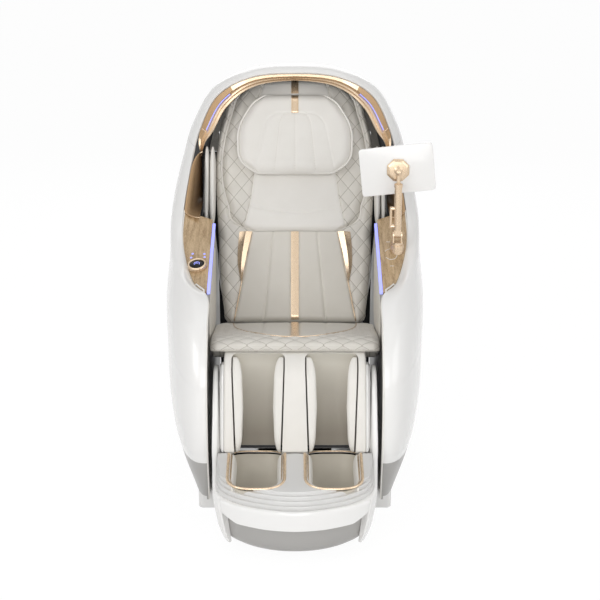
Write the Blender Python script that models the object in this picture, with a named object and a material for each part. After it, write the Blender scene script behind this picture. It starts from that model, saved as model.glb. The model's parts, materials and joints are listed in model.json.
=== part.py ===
"""Cocoon massage chair: a fixed shell and hood on a plinth, a back that reclines on a sliding seat, a lifting
leg rest with a sliding foot unit, a massage carriage on its track, and the arm that holds a tablet.

Metres, +Z up, the sitter's feet towards -Y. The origin is on the floor, under the middle of the plinth.
Left and right are as seen from the front. Every piece that leans is drawn upright in its own frame.
"""

import math

import bmesh
import bpy
import numpy as np
from mathutils import Matrix, Vector

# Fits
SEAT_GAP = 0.0003  # between a piece and what it rests on
RUNNING_GAP = 0.0006  # between a sliding piece and its guide
SPLIT = 0.002  # half the joint between two shells, in rows of the shell's lines
WELD = 0.000001
ROUND = 16  # sides of a turned piece
PIN_ALLOWANCE = 1.07  # a faceted hole's radius over its pin's

# Plinth and base frame
PLINTH_HALF, PLINTH_FRONT, PLINTH_REAR, PLINTH_TOP = 0.291, -0.314, 0.36, 0.0517
PLINTH_CORNER = 0.045
BEAM_X, BEAM_WIDTH, BEAM_HEIGHT = 0.214, 0.036, 0.038
BEAM_FRONT, BEAM_REAR = -0.20, 0.415
POST_YS, POST_SIZE = (-0.17, 0.25), 0.030
RAIL_BOTTOM, RAIL_HEIGHT, RAIL_WALL = 0.205, 0.030, 0.003
RAIL_FRONT, RAIL_REAR = -0.20, 0.30
WHEEL_RADIUS, WHEEL_WIDTH, WHEEL_Y, WHEEL_Z = 0.028, 0.022, 0.405, 0.032
WHEEL_AXLE = 0.006

# Shell
WALL = 0.008
FLOOR_GAP = 0.052
SEAT_HALF = 0.250
INNER_X = SEAT_HALF + 0.006  # half the space between the arms
PANEL_WALL = 0.006
SKIRT_ROW, NOSE_ROW, ARM_END_ROW, HOOD_ROW, CROWN_ROW = 1.0, 5.3, 8.0, 9.6, 13.0
ARM_INNER_LINE = (0.643, 0.33)  # height at y = -0.2, and rise per metre back
WOOD_WALL = 0.006
LIGHT_PROUD = 0.0035

# Back
BACK_PIVOT, BACK_TILT = (0.235, 0.385), 27.5
PAD_BACK, PAD_FRONT, UPPER_BACK = -0.050, -0.098, -0.060
TRACK_X, TRACK_WIDTH, TRACK_WALL, TRACK_REAR = 0.200, 0.035, 0.006, 0.030
TRACK_TOP = 0.69
COVER_REAR, COVER_WALL = 0.088, 0.005
COVER_HALF = TRACK_X + 0.0505
CARRIAGE_S, CARRIAGE_TRAVEL = 0.16, 0.38
ARM_X, ROLLER_RADIUS, ROLLER_WIDTH, ROLLER_REACH = 0.060, 0.024, 0.030, 0.062
ROLLER_Y, ROLLER_AXLE = -0.016, 0.005

# Seat
SEAT_THICK = 0.072
SEAT_REAR, SEAT_REAR_Z, SEAT_RISE = 0.134, 0.441, 0.23
SIDE_X, SIDE_WALL = 0.2155, 0.008
PIN_RADIUS = 0.008
ACTUATOR_BOTTOM = 0.2723
BACK_ROD_Z, LEG_ROD_Z, ROD_RADIUS = 0.2916, 0.3357, 0.008
ROD_HELD = 0.040  # a rod's length left in its guide when it is farthest out
LEVER = 0.10
BACK_SWING, LEG_SWING = 42.0, 75.0
LEVER_PIN = 0.006

# Leg rest
LEG_PIVOT, LEG_TILT = (-0.295, 0.415), 17.6
CALF_FRONT, CALF_REAR, CALF_BOTTOM = -0.084, 0.055, -0.213
CALF_OUTER, CALF_INNER, CALF_POST = 0.206, 0.190, 0.030
KNEE_RADIUS, KNEE_GAP = 0.084, 0.006
GUIDE_X, GUIDE_Y, GUIDE_RADIUS = 0.120, 0.068, 0.007
FOOT_HALF, FOOT_WALL = 0.2415, 0.018
FOOT_REAR, FOOT_FRONT, DECK_REAR = -0.270, -0.690, -0.335
DECK_BOTTOM, BASE_BOTTOM = 0.0953, 0.035
WELL_X, WELL_HALF, WELL_FRONT, WELL_REAR, WELL_FLOOR = 0.1095, 0.0745, -0.632, -0.350, 0.112
SOLE_SHAFT_Y, SOLE_SHAFT_Z, SOLE_SHAFT, SOLE_ROLLER = -0.53, 0.140, 0.007, 0.020

FOOT_TURNS = (0, 0.12, 0.24, 0.36, 0.48, 0.58, 0.66, 0.72, 0.78, 0.83, 0.88, 0.93, 0.965, 1.0)

# Controls
KNOB_X, KNOB_Y, KNOB_RADIUS, KNOB_HEIGHT, BUTTON_RADIUS = -0.297, -0.060, 0.029, 0.014, 0.022
BUTTON_TRAVEL = 0.0012
POST_X, POST_Y, SOCKET_RADIUS = 0.316, 0.020, 0.021
ELBOW_Z, TUBE_RADIUS, TUBE_TOP, BALL_Z = 0.764, 0.0115, 0.915, 0.962
TABLET_WIDTH, TABLET_HEIGHT, TABLET_THICK, TABLET_ROLL = 0.227, 0.149, 0.009, 6.0
MOUNT_OFFSET = 0.0225  # the ball's middle to the mount's plate

FINISHES = {
    "gloss_white": ((0.90, 0.90, 0.90), 0.12, 0.0),
    "soft_grey": ((0.40, 0.39, 0.37), 0.35, 0.0),
    "light_grey": ((0.62, 0.61, 0.59), 0.30, 0.0),
    "leather": ((0.68, 0.63, 0.56), 0.50, 0.0),
    "pale_leather": ((0.76, 0.72, 0.66), 0.50, 0.0),
    "champagne": ((0.60, 0.42, 0.27), 0.25, 1.0),
    "oak": ((0.48, 0.31, 0.16), 0.45, 0.0),
    "lamp": ((0.35, 0.36, 1.00), 0.30, 0.0),
    "black": ((0.02, 0.02, 0.02), 0.20, 0.0),
    "steel": ((0.30, 0.30, 0.32), 0.40, 1.0),
    "dark_plastic": ((0.06, 0.06, 0.06), 0.45, 0.0),
    "rubber": ((0.03, 0.03, 0.03), 0.80, 0.0),
}

# The shell is drawn by ribs. Each row gives where a rib starts on the front rim, how it leaves the rim, where it
# ends on the rear edge, and how it comes in there, for the right side. Rows climb from the floor to the crown.
SHELL_ROWS = np.array(
    [
        # rim                     leaving                rear edge              arriving
        [INNER_X, -0.372, 0.052, 0.075, -0.020, 0.000, 0.275, 0.350, 0.052, 0.040, -0.200, 0.000],
        [INNER_X, -0.415, 0.190, 0.140, -0.030, 0.000, 0.312, 0.500, 0.190, 0.078, -0.280, 0.000],
        [INNER_X, -0.425, 0.325, 0.170, -0.035, 0.000, 0.328, 0.600, 0.325, 0.095, -0.330, 0.000],
        [INNER_X, -0.398, 0.470, 0.175, -0.030, 0.020, 0.330, 0.655, 0.460, 0.105, -0.360, 0.000],
        [INNER_X, -0.320, 0.583, 0.180, -0.030, 0.030, 0.330, 0.680, 0.575, 0.107, -0.380, 0.000],
        [0.260, -0.215, 0.640, 0.160, -0.040, 0.050, 0.330, 0.690, 0.655, 0.107, -0.380, 0.005],
        [0.311, -0.122, 0.662, 0.105, -0.010, 0.040, 0.326, 0.695, 0.715, 0.103, -0.370, 0.010],
        [0.350, 0.050, 0.727, 0.068, 0.030, 0.030, 0.320, 0.700, 0.785, 0.097, -0.330, 0.010],
        [0.354, 0.180, 0.803, 0.060, 0.055, 0.022, 0.310, 0.700, 0.860, 0.087, -0.280, 0.015],
        [0.338, 0.300, 0.914, 0.055, 0.060, 0.020, 0.293, 0.690, 0.940, 0.070, -0.200, 0.020],
        [0.312, 0.375, 1.012, 0.045, 0.055, 0.025, 0.270, 0.680, 1.010, 0.052, -0.140, 0.030],
        [0.250, 0.418, 1.122, 0.030, 0.052, 0.030, 0.212, 0.662, 1.088, 0.030, -0.105, 0.040],
        [0.140, 0.426, 1.183, 0.010, 0.050, 0.034, 0.118, 0.650, 1.136, 0.010, -0.092, 0.045],
        [0.000, 0.427, 1.196, 0.000, 0.050, 0.034, 0.000, 0.645, 1.150, 0.000, -0.090, 0.045],
    ]
)


class Frame:
    """A leaning frame: x stays across, z runs up along the piece and y to its rear."""

    def __init__(self, origin, tilt, x=0.0):
        self.x = x
        self.y, self.z = origin
        self.cos, self.sin = math.cos(math.radians(tilt)), math.sin(math.radians(tilt))

    def at(self, x, y, z):
        """The world point of a point in the frame."""
        across = self.x + x
        return Vector((across, self.y + y * self.cos + z * self.sin, self.z - y * self.sin + z * self.cos))


WORLD = Frame((0.0, 0.0), 0.0)
BACK = Frame(BACK_PIVOT, BACK_TILT)
LEG = Frame(LEG_PIVOT, LEG_TILT)


def clear_scene():
    """Removes what the scene holds."""
    for obj in list(bpy.data.objects):
        bpy.data.objects.remove(obj)


def finish_for(name, key):
    """A node's own material, from the table of finishes."""
    colour, roughness, metallic = FINISHES[key]
    material = bpy.data.materials.new(name)
    material.use_nodes = True
    shader = material.node_tree.nodes["Principled BSDF"]
    shader.inputs["Base Color"].default_value = (*colour, 1.0)
    shader.inputs["Roughness"].default_value = roughness
    shader.inputs["Metallic"].default_value = metallic
    return material


def axis_empty(name, point, parent=None):
    """The empty that marks a moving body's axis."""
    empty = bpy.data.objects.new(name, None)
    bpy.context.scene.collection.objects.link(empty)
    empty.location = point
    if parent:
        bpy.context.view_layer.update()
        empty.parent = parent
        empty.matrix_parent_inverse = parent.matrix_world.inverted()
    bpy.context.view_layer.update()
    return empty


def mesh_of(name, form):
    """A closed mesh facing out, from a form's points and faces."""
    points, faces = form
    mesh = bpy.data.meshes.new(name)
    mesh.from_pydata([tuple(point) for point in points], [], faces)
    work = bmesh.new()
    work.from_mesh(mesh)
    bmesh.ops.remove_doubles(work, verts=work.verts, dist=WELD)
    bmesh.ops.recalc_face_normals(work, faces=work.faces)
    if work.calc_volume(signed=True) < 0:
        bmesh.ops.reverse_faces(work, faces=work.faces)
    work.to_mesh(mesh)
    work.free()
    return mesh


def helper(form):
    """A shape that only joins or cuts another, so it isn't a piece itself."""
    obj = bpy.data.objects.new("tool", mesh_of("tool", form))
    bpy.context.scene.collection.objects.link(obj)
    obj.hide_render = True
    obj.display_type = "WIRE"
    return obj


def node(name, form, key, body=None, joined=(), cut=()):
    """One piece: its form, the forms joined to it, and then the forms cut from it."""
    mesh = mesh_of(name, form)
    mesh.materials.append(finish_for(name, key))
    obj = bpy.data.objects.new(name, mesh)
    bpy.context.scene.collection.objects.link(obj)
    mesh.shade_smooth()
    mesh.set_sharp_from_angle(angle=math.radians(35))
    for operation, forms in (("UNION", joined), ("DIFFERENCE", cut)):
        for each in forms:
            boolean = obj.modifiers.new(operation.lower(), "BOOLEAN")
            boolean.operation = operation
            boolean.solver = "EXACT"
            boolean.object = helper(each)
    if body:
        obj.parent = body
        obj.matrix_parent_inverse = body.matrix_world.inverted()
    return obj


def loft(rings):
    """A closed form through rings of equal count, with flat ends."""
    count = len(rings[0])
    points = [point for ring in rings for point in ring]
    faces = []
    for row in range(len(rings) - 1):
        for i in range(count):
            j = (i + 1) % count
            faces.append((row * count + i, row * count + j, (row + 1) * count + j, (row + 1) * count + i))
    faces.append(tuple(range(count)))
    faces.append(tuple((len(rings) - 1) * count + i for i in range(count)))
    return points, faces


def slab(outer, inner):
    """A wall between two grids of points."""
    rows, columns = len(outer), len(outer[0])
    size = rows * columns
    points = [point for row in outer for point in row] + [point for row in inner for point in row]
    faces = []
    for r in range(rows - 1):
        for c in range(columns - 1):
            quad = (r * columns + c, r * columns + c + 1, (r + 1) * columns + c + 1, (r + 1) * columns + c)
            faces.append(quad)
            faces.append(tuple(size + k for k in reversed(quad)))
    rim = [c for c in range(columns)]
    rim += [r * columns + columns - 1 for r in range(1, rows)]
    rim += [(rows - 1) * columns + c for c in range(columns - 2, -1, -1)]
    rim += [r * columns for r in range(rows - 2, 0, -1)]
    for i, start in enumerate(rim):
        end = rim[(i + 1) % len(rim)]
        faces.append((start, size + start, size + end, end))
    return points, faces


def prism(outline, low, high, frame=WORLD, across="x"):
    """An outline extruded between two depths. It is drawn in (y, z) across x, in (x, y) across z, else (x, z)."""

    def place(a, b, depth):
        if across == "x":
            return frame.at(depth, a, b)
        if across == "z":
            return frame.at(a, b, depth)
        return frame.at(a, depth, b)

    return loft([[place(a, b, depth) for a, b in outline] for depth in (low, high)])


def block(low, high, frame=WORLD):
    """A box between two corners of a frame."""
    outline = [(low[1], low[2]), (high[1], low[2]), (high[1], high[2]), (low[1], high[2])]
    return prism(outline, low[0], high[0], frame)


def circle(radius, count=ROUND, centre=(0.0, 0.0), start=0.0):
    """Points round a circle."""
    turns = [start + 2 * math.pi * k / count for k in range(count)]
    return [(centre[0] + radius * math.cos(a), centre[1] + radius * math.sin(a)) for a in turns]


def arc(centre, radius, start, end, count):
    """Points along an arc, in degrees."""
    angles = [math.radians(start + (end - start) * k / (count - 1)) for k in range(count)]
    return [(centre[0] + radius * math.cos(a), centre[1] + radius * math.sin(a)) for a in angles]


def rounded(half_a, half_b, corner, steps=4, centre=(0.0, 0.0)):
    """A rounded rectangle's outline."""
    outline = []
    for sign_a, sign_b, start in ((1, 1, 0), (-1, 1, 90), (-1, -1, 180), (1, -1, 270)):
        middle = (centre[0] + sign_a * (half_a - corner), centre[1] + sign_b * (half_b - corner))
        outline += arc(middle, corner, start, start + 90, steps)
    return outline


def turned(profile, origin, axis, count=ROUND, bored=False):
    """A profile of (radius, height) turned about an axis. A bored one is a closed loop round its bore."""
    axis = Vector(axis).normalized()
    first = axis.orthogonal().normalized()
    second = axis.cross(first)
    origin = Vector(origin)
    points, faces = [], []
    size = len(profile)
    for k in range(count):
        angle = 2 * math.pi * k / count
        way = first * math.cos(angle) + second * math.sin(angle)
        points += [origin + way * radius + axis * height for radius, height in profile]
    for k in range(count):
        after = (k + 1) % count
        for j in range(size if bored else size - 1):
            i = (j + 1) % size
            faces.append((k * size + j, k * size + i, after * size + i, after * size + j))
    return points, faces


def rod(start, end, radius, count=ROUND):
    """A straight round bar."""
    start, end = Vector(start), Vector(end)
    length = (end - start).length
    return turned([(0, 0), (radius, 0), (radius, length), (0, length)], start, end - start, count)


def tube_along(path, radius, count=8):
    """A round bar along a path of points."""
    rings = []
    for i, point in enumerate(path):
        way = (Vector(path[min(i + 1, len(path) - 1)]) - Vector(path[max(i - 1, 0)])).normalized()
        side = Vector((0, 1, 0)).cross(way).normalized()
        up = way.cross(side)
        rings.append([Vector(point) + side * a + up * b for a, b in circle(radius, count)])
    return loft(rings)


def through(rows, u):
    """A point on the smooth line through rows, whose last row mirrors at the crown."""
    last = len(rows) - 1
    index = min(int(u), last - 1)
    t = u - index
    before = rows[index - 1] if index else 2 * rows[0] - rows[1]
    a, b = rows[index], rows[index + 1]
    if index + 2 <= last:
        after = rows[index + 2]
    else:
        after = rows[last - 1] * np.array([-1, 1, 1] * 4)
    return 0.5 * (
        2 * a + (b - before) * t + (2 * before - 5 * a + 4 * b - after) * t**2 + (3 * a - 3 * b + after - before) * t**3
    )


def shell_point(u, t):
    """A point of the shell's outer face, on the right side, at row u and share t of its rib."""
    row = through(SHELL_ROWS, u)
    rim, leave, rear, arrive = row[0:3], row[3:6], row[6:9], row[9:12]
    s = 1 - t
    return s**3 * rim + 3 * s**2 * t * (rim + leave) + 3 * s * t**2 * (rear + arrive) + t**3 * rear


def shell_normal(u, t, step=0.004):
    """The outward direction of the shell's face."""
    low, high = max(u - step, 0.0), min(u + step, CROWN_ROW)
    along = shell_point(high, t) - shell_point(low, t)
    around = shell_point(u, min(t + step, 1.0)) - shell_point(u, max(t - step, 0.0))
    normal = np.cross(along, around)
    if u >= CROWN_ROW:
        normal[0] = 0.0
    normal /= np.linalg.norm(normal)
    centre = np.array([0.0, 0.2, 0.55])
    return normal if np.dot(normal, shell_point(u, t) - centre) > 0 else -normal


def shell_wall(stations, shares, side=None):
    """The wall over (row, side) stations and shares of the ribs."""
    outer, inner = [], []
    for u, way in stations:
        across = np.array([side or way, 1, 1])
        outer.append([Vector(shell_point(u, t) * across) for t in shares])
        inner.append([Vector((shell_point(u, t) - WALL * shell_normal(u, t)) * across) for t in shares])
    return slab(outer, inner)


def rim(u):
    """The shell's front rim on the right side."""
    return shell_point(u, 0.0)


ARM_ROWS = np.linspace(NOSE_ROW, ARM_END_ROW, 40)
ARM_YS = np.array([rim(u)[1] for u in ARM_ROWS])


def arm_inner_height(y):
    """Height of the arm panel's inner edge."""
    height, rise = ARM_INNER_LINE
    return height + rise * (y + 0.2)


def arm_top(x, y):
    """Height of the arm's wooden face."""
    row = float(np.interp(y, ARM_YS, ARM_ROWS))
    edge = rim(row)
    share = (abs(x) - INNER_X) / max(edge[0] - INNER_X, 0.01)
    return arm_inner_height(y) + share * (edge[2] - 0.002 - arm_inner_height(y))


def build_base():
    """The plinth, the welded frame, the slide rails, the wheels and the boxes on the plinth."""
    depth = (PLINTH_REAR - PLINTH_FRONT) / 2
    middle = (PLINTH_REAR + PLINTH_FRONT) / 2
    outline = rounded(PLINTH_HALF, depth, PLINTH_CORNER, 5, (0.0, middle))
    node("base_plinth", prism(outline, 0.0, PLINTH_TOP, across="z"), "gloss_white")

    bottom = PLINTH_TOP + SEAT_GAP
    inner, outer = BEAM_X - BEAM_WIDTH / 2, BEAM_X + BEAM_WIDTH / 2
    pieces = []
    for side in (-1, 1):
        low, high = sorted((side * inner, side * outer))
        pieces.append(block((low, BEAM_FRONT, bottom), (high, BEAM_REAR, bottom + BEAM_HEIGHT)))
        for y in POST_YS:
            half = POST_SIZE / 2
            top = RAIL_BOTTOM - SEAT_GAP
            pieces.append(block((low + 0.003, y - half, bottom), (high - 0.003, y + half, top)))
        pieces.append(block((low, WHEEL_Y - 0.016, WHEEL_Z - 0.012), (high, WHEEL_Y + 0.010, bottom + 0.02)))
        start, end = side * (outer - 0.004), side * (outer + WHEEL_WIDTH + 0.006)
        pieces.append(rod((start, WHEEL_Y, WHEEL_Z), (end, WHEEL_Y, WHEEL_Z), WHEEL_AXLE))
    for y in POST_YS:
        pieces.append(block((-inner - 0.01, y - 0.015, bottom), (inner + 0.01, y + 0.015, bottom + 0.028)))
    node("base_frame", pieces[0], "steel", joined=pieces[1:])

    for side, word in ((-1, "left"), (1, "right")):
        low, high = inner, outer
        top = RAIL_BOTTOM + RAIL_HEIGHT
        outline = [(low, top), (low, RAIL_BOTTOM), (high, RAIL_BOTTOM), (high, top)]
        outline += [(high - RAIL_WALL, top), (high - RAIL_WALL, RAIL_BOTTOM + RAIL_WALL)]
        outline += [(low + RAIL_WALL, RAIL_BOTTOM + RAIL_WALL), (low + RAIL_WALL, top)]
        outline = [(side * x, z) for x, z in outline]
        node(f"slide_rail_{word}", prism(outline, RAIL_FRONT, RAIL_REAR, across="y"), "steel")

        wheel = axis_empty(f"wheel_{word}_axis", (side * (outer + 0.002), WHEEL_Y, WHEEL_Z))
        bore = WHEEL_AXLE * PIN_ALLOWANCE
        r, w = WHEEL_RADIUS, WHEEL_WIDTH
        profile = [(bore, 0), (r - 0.003, 0), (r, 0.003), (r, w - 0.003), (r - 0.003, w), (bore, w)]
        origin = (side * (outer + 0.002), WHEEL_Y, WHEEL_Z)
        form = turned(profile, origin, (side, 0, 0), bored=True)
        node(f"transport_wheel_{word}", form, "rubber", wheel)

    box = rounded(0.120, 0.070, 0.012, 3, (0.0, 0.130))
    node("control_box", prism(box, bottom, 0.142, across="z"), "dark_plastic")
    box = rounded(0.115, 0.060, 0.020, 3, (0.0, -0.060))
    outlets = [rod((x, -0.119, 0.10), (x, -0.138, 0.10), 0.007, 10) for x in (-0.06, -0.03, 0.03, 0.06)]
    node("air_pump", prism(box, bottom, 0.150, across="z"), "dark_plastic", joined=outlets)


def build_shell():
    """The skirts, the side shells and the hood, all walls of one drawn surface."""
    shares = [0, 0.04, 0.12, 0.25, 0.4, 0.55, 0.7, 0.85, 1.0]  # the same on both sides of a joint
    skirt = [0, SKIRT_ROW / 2, SKIRT_ROW - SPLIT]
    flank = [SKIRT_ROW + SPLIT] + list(np.arange(1.5, HOOD_ROW - 0.2, 0.5)) + [HOOD_ROW - SPLIT]
    for side, word in ((-1, "left"), (1, "right")):
        node(f"skirt_{word}", shell_wall([(u, side) for u in skirt], shares), "soft_grey")
        node(f"shell_{word}", shell_wall([(u, side) for u in flank], shares), "gloss_white")
    climb = [HOOD_ROW + SPLIT] + list(np.arange(10.0, CROWN_ROW, 0.5))
    stations = [(u, -1) for u in climb] + [(CROWN_ROW, 1)] + [(u, 1) for u in reversed(climb)]
    node("hood_shell", shell_wall(stations, shares), "gloss_white")


def build_arms():
    """The inner walls, wooden panels and light strips of the arms, the forearm tunnels and the airbag pads."""
    inset = WALL + SEAT_GAP + 0.0015
    front = []
    for u in np.arange(0.0, 5.01, 0.5):
        point = rim(u)
        ahead = rim(min(u + 0.1, 5.0)) - rim(max(u - 0.1, 0.0))
        way = np.array([ahead[2], -ahead[1]]) / math.hypot(ahead[1], ahead[2])
        front.append((point[1] + inset * way[0], point[2] + inset * way[1]))
    slope = (front[1][0] - front[0][0]) / (front[1][1] - front[0][1])
    front[0] = (front[0][0] + slope * (FLOOR_GAP - front[0][1]), FLOOR_GAP)
    strip = 0.004
    top = [(y, arm_inner_height(y) - WOOD_WALL - strip) for y in (-0.185, 0.175)]
    rear = [(0.250, 0.690), (0.360, 0.600), (0.400, 0.450), (0.420, 0.300), (0.340, FLOOR_GAP)]
    outline = front + top + rear
    for side, word in ((-1, "left"), (1, "right")):
        low, high = sorted((side * (INNER_X + 0.0005), side * (INNER_X + 0.0005 + PANEL_WALL)))
        node(f"inner_panel_{word}", prism(outline, low, high), "leather")

        low, high = sorted((side * (INNER_X - LIGHT_PROUD), side * (INNER_X + 0.0055)))
        light = [(y, arm_inner_height(y) - WOOD_WALL - strip + SEAT_GAP) for y in (-0.185, 0.165)]
        light += [(y, arm_inner_height(y) - 0.001) for y in (0.165, -0.185)]
        node(f"arm_light_{word}", prism(light, low, high), "lamp")

        upper, lower = [], []
        for u in np.linspace(NOSE_ROW, ARM_END_ROW, 17):
            edge = rim(u)
            inner, outer = INNER_X + 0.0062, edge[0] - 0.0035
            row = [Vector((side * x, edge[1], arm_top(x, edge[1]))) for x in np.linspace(inner, outer, 4)]
            upper.append(row)
            lower.append([point - Vector((0, 0, WOOD_WALL)) for point in row])
        node(f"wood_panel_{word}", slab(upper, lower), "oak")

        build_tunnel(side, word)


def build_tunnel(side, word):
    """A forearm tunnel: a champagne channel inside the shell, closed on the sitter's side by an airbag pad."""
    flange, wall, rear = 0.2930, 0.004, 0.440
    profile = [(flange, 0.815), (0.318, 0.817), (0.330, 0.838), (0.331, 0.872)]
    profile += [(0.325, 0.902), (0.313, 0.932), (0.303, 0.944), (flange, 0.947)]
    centre = np.array([0.300, 0.880])
    outer, inner = [], []
    for x, z in profile:
        inward = (centre - np.array([x, z])) / np.linalg.norm(centre - np.array([x, z]))
        if x == flange:
            inward = np.array([0.0, 1.0 if z < 0.88 else -1.0])
        row = float(np.interp(z, [rim(u)[2] for u in np.arange(7, 11, 0.1)], np.arange(7, 11, 0.1)))
        begin = rim(row)[1] + 0.012
        ys = [begin + (rear - begin) * k / 3 for k in range(4)]
        outer.append([Vector((side * x, y, z)) for y in ys])
        inner.append([Vector((side * (x + wall * inward[0]), y, z + wall * inward[1])) for y in ys])
    reach = []
    for u in np.arange(8.0, 9.0, 0.03):
        for t in np.arange(0.1, 0.6, 0.004):
            face = shell_point(u, t) - WALL * shell_normal(u, t)
            if abs(face[1] - 0.400) < 0.010 and abs(face[2] - 0.872) < 0.008:
                reach.append(face[0])
    low, high = sorted((side * 0.3285, side * (min(reach) - 0.0008)))
    bracket = block((low, 0.392, 0.866), (high, 0.408, 0.878))
    node(f"tunnel_{word}", slab(outer, inner), "champagne", joined=[bracket])

    start, end = np.array([0.300, 0.735]), np.array([0.425, 0.965])
    way = (end - start) / np.linalg.norm(end - start)
    across = np.array([-way[1], way[0]])
    middle_x, half_x = (0.2617 + flange - SEAT_GAP) / 2, (flange - SEAT_GAP - 0.2617) / 2
    rings = []
    for t in (0.0, 0.03, 0.12, 0.3, 0.5, 0.7, 0.88, 0.97, 1.0):
        swell = (1 - abs(2 * t - 1) ** 4) ** 0.5 if 0 < t < 1 else 0.12
        wide, thick = 0.045 * (0.35 + 0.65 * swell), half_x * max(0.45, swell)
        centre_yz = start + t * (end - start)
        ring = []
        for k in range(14):
            angle = 2 * math.pi * k / 14
            c, s = math.cos(angle), math.sin(angle)
            a = math.copysign(abs(c) ** 0.6, c) * wide
            b = math.copysign(abs(s) ** 0.5, s) * thick
            y, z = centre_yz + across * a
            ring.append(Vector((side * (middle_x + b), y, z)))
        rings.append(ring)
    node(f"arm_pad_{word}", loft(rings), "leather")


def build_hood():
    """The layered champagne trim inside the hood's rim, and its light."""
    widths = ((9.5, 0.004), (10.0, 0.030), (11.0, 0.052), (11.8, 0.036), (13.0, 0.020))
    rows = [HOOD_ROW + SPLIT] + list(np.arange(10.0, CROWN_ROW + 0.1, 0.5))
    stations = [(u, -1) for u in rows] + [(u, 1) for u in reversed(rows[:-1])]
    centre = np.array([0.0, 0.0, 0.75])
    rings, light = [], []
    for u, side in stations:
        edge = rim(u) - shell_normal(u, 0.0) * (WALL + SEAT_GAP)
        inward = centre - edge
        inward[1] = 0.0
        inward /= np.linalg.norm(inward)
        width = float(np.interp(u, [w[0] for w in widths], [w[1] for w in widths]))
        step = width / 3
        profile = [(0, 0.0005), (step, 0.0005), (step, 0.007), (2 * step, 0.004), (2 * step, 0.010)]
        profile += [(width, 0.009), (width, 0.016), (0, 0.016)]
        ring = [edge + inward * a + np.array([0, b, 0]) for a, b in profile]
        rings.append([Vector(point * np.array([side, 1, 1])) for point in ring])
        light.append(edge + inward * (width * 0.86) + np.array([0, 0.0058, 0]))
    node("hood_trim", loft(rings), "champagne")
    middle = len(rows) - 1
    path = []
    for k, (u, side) in enumerate(stations):
        if 3 <= k <= 2 * middle - 3:
            path.append(Vector(light[k] * np.array([side, 1, 1])))
    node("hood_light", tube_along(path, 0.0028, 6), "lamp")


def slope_frame(x, y):
    """The point on the arm's wooden face and its upward direction."""
    step = 0.01
    rise_x = (arm_top(x + step, y) - arm_top(x - step, y)) / (2 * step)
    rise_y = (arm_top(x, y + step) - arm_top(x, y - step)) / (2 * step)
    return Vector((x, y, arm_top(x, y))), Vector((-rise_x, -rise_y, 1)).normalized()


def build_knob():
    """The rotary ring on the left arm and the button that is pressed in its middle."""
    foot, up = slope_frame(KNOB_X, KNOB_Y)
    foot = foot + up * 0.0012
    bore = BUTTON_RADIUS + RUNNING_GAP
    r, h = KNOB_RADIUS, KNOB_HEIGHT
    profile = [(bore, 0), (r, 0), (r, h * 0.6), (r - 0.002, h * 0.9), (r - 0.004, h), (bore, h - 0.002)]
    ring_axis = axis_empty("knob_ring_axis", foot)
    node("knob_ring", turned(profile, foot, up, 28, bored=True), "champagne", ring_axis)
    button_axis = axis_empty("knob_button_axis", foot)
    b = BUTTON_RADIUS
    lift = BUTTON_TRAVEL + 0.0048
    profile = [(0, lift), (b, lift), (b, h - 0.003), (b - 0.002, h - 0.0015), (0, h - 0.001)]
    node("knob_button", turned(profile, foot, up, 28), "black", button_axis)
    return foot, up


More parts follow.
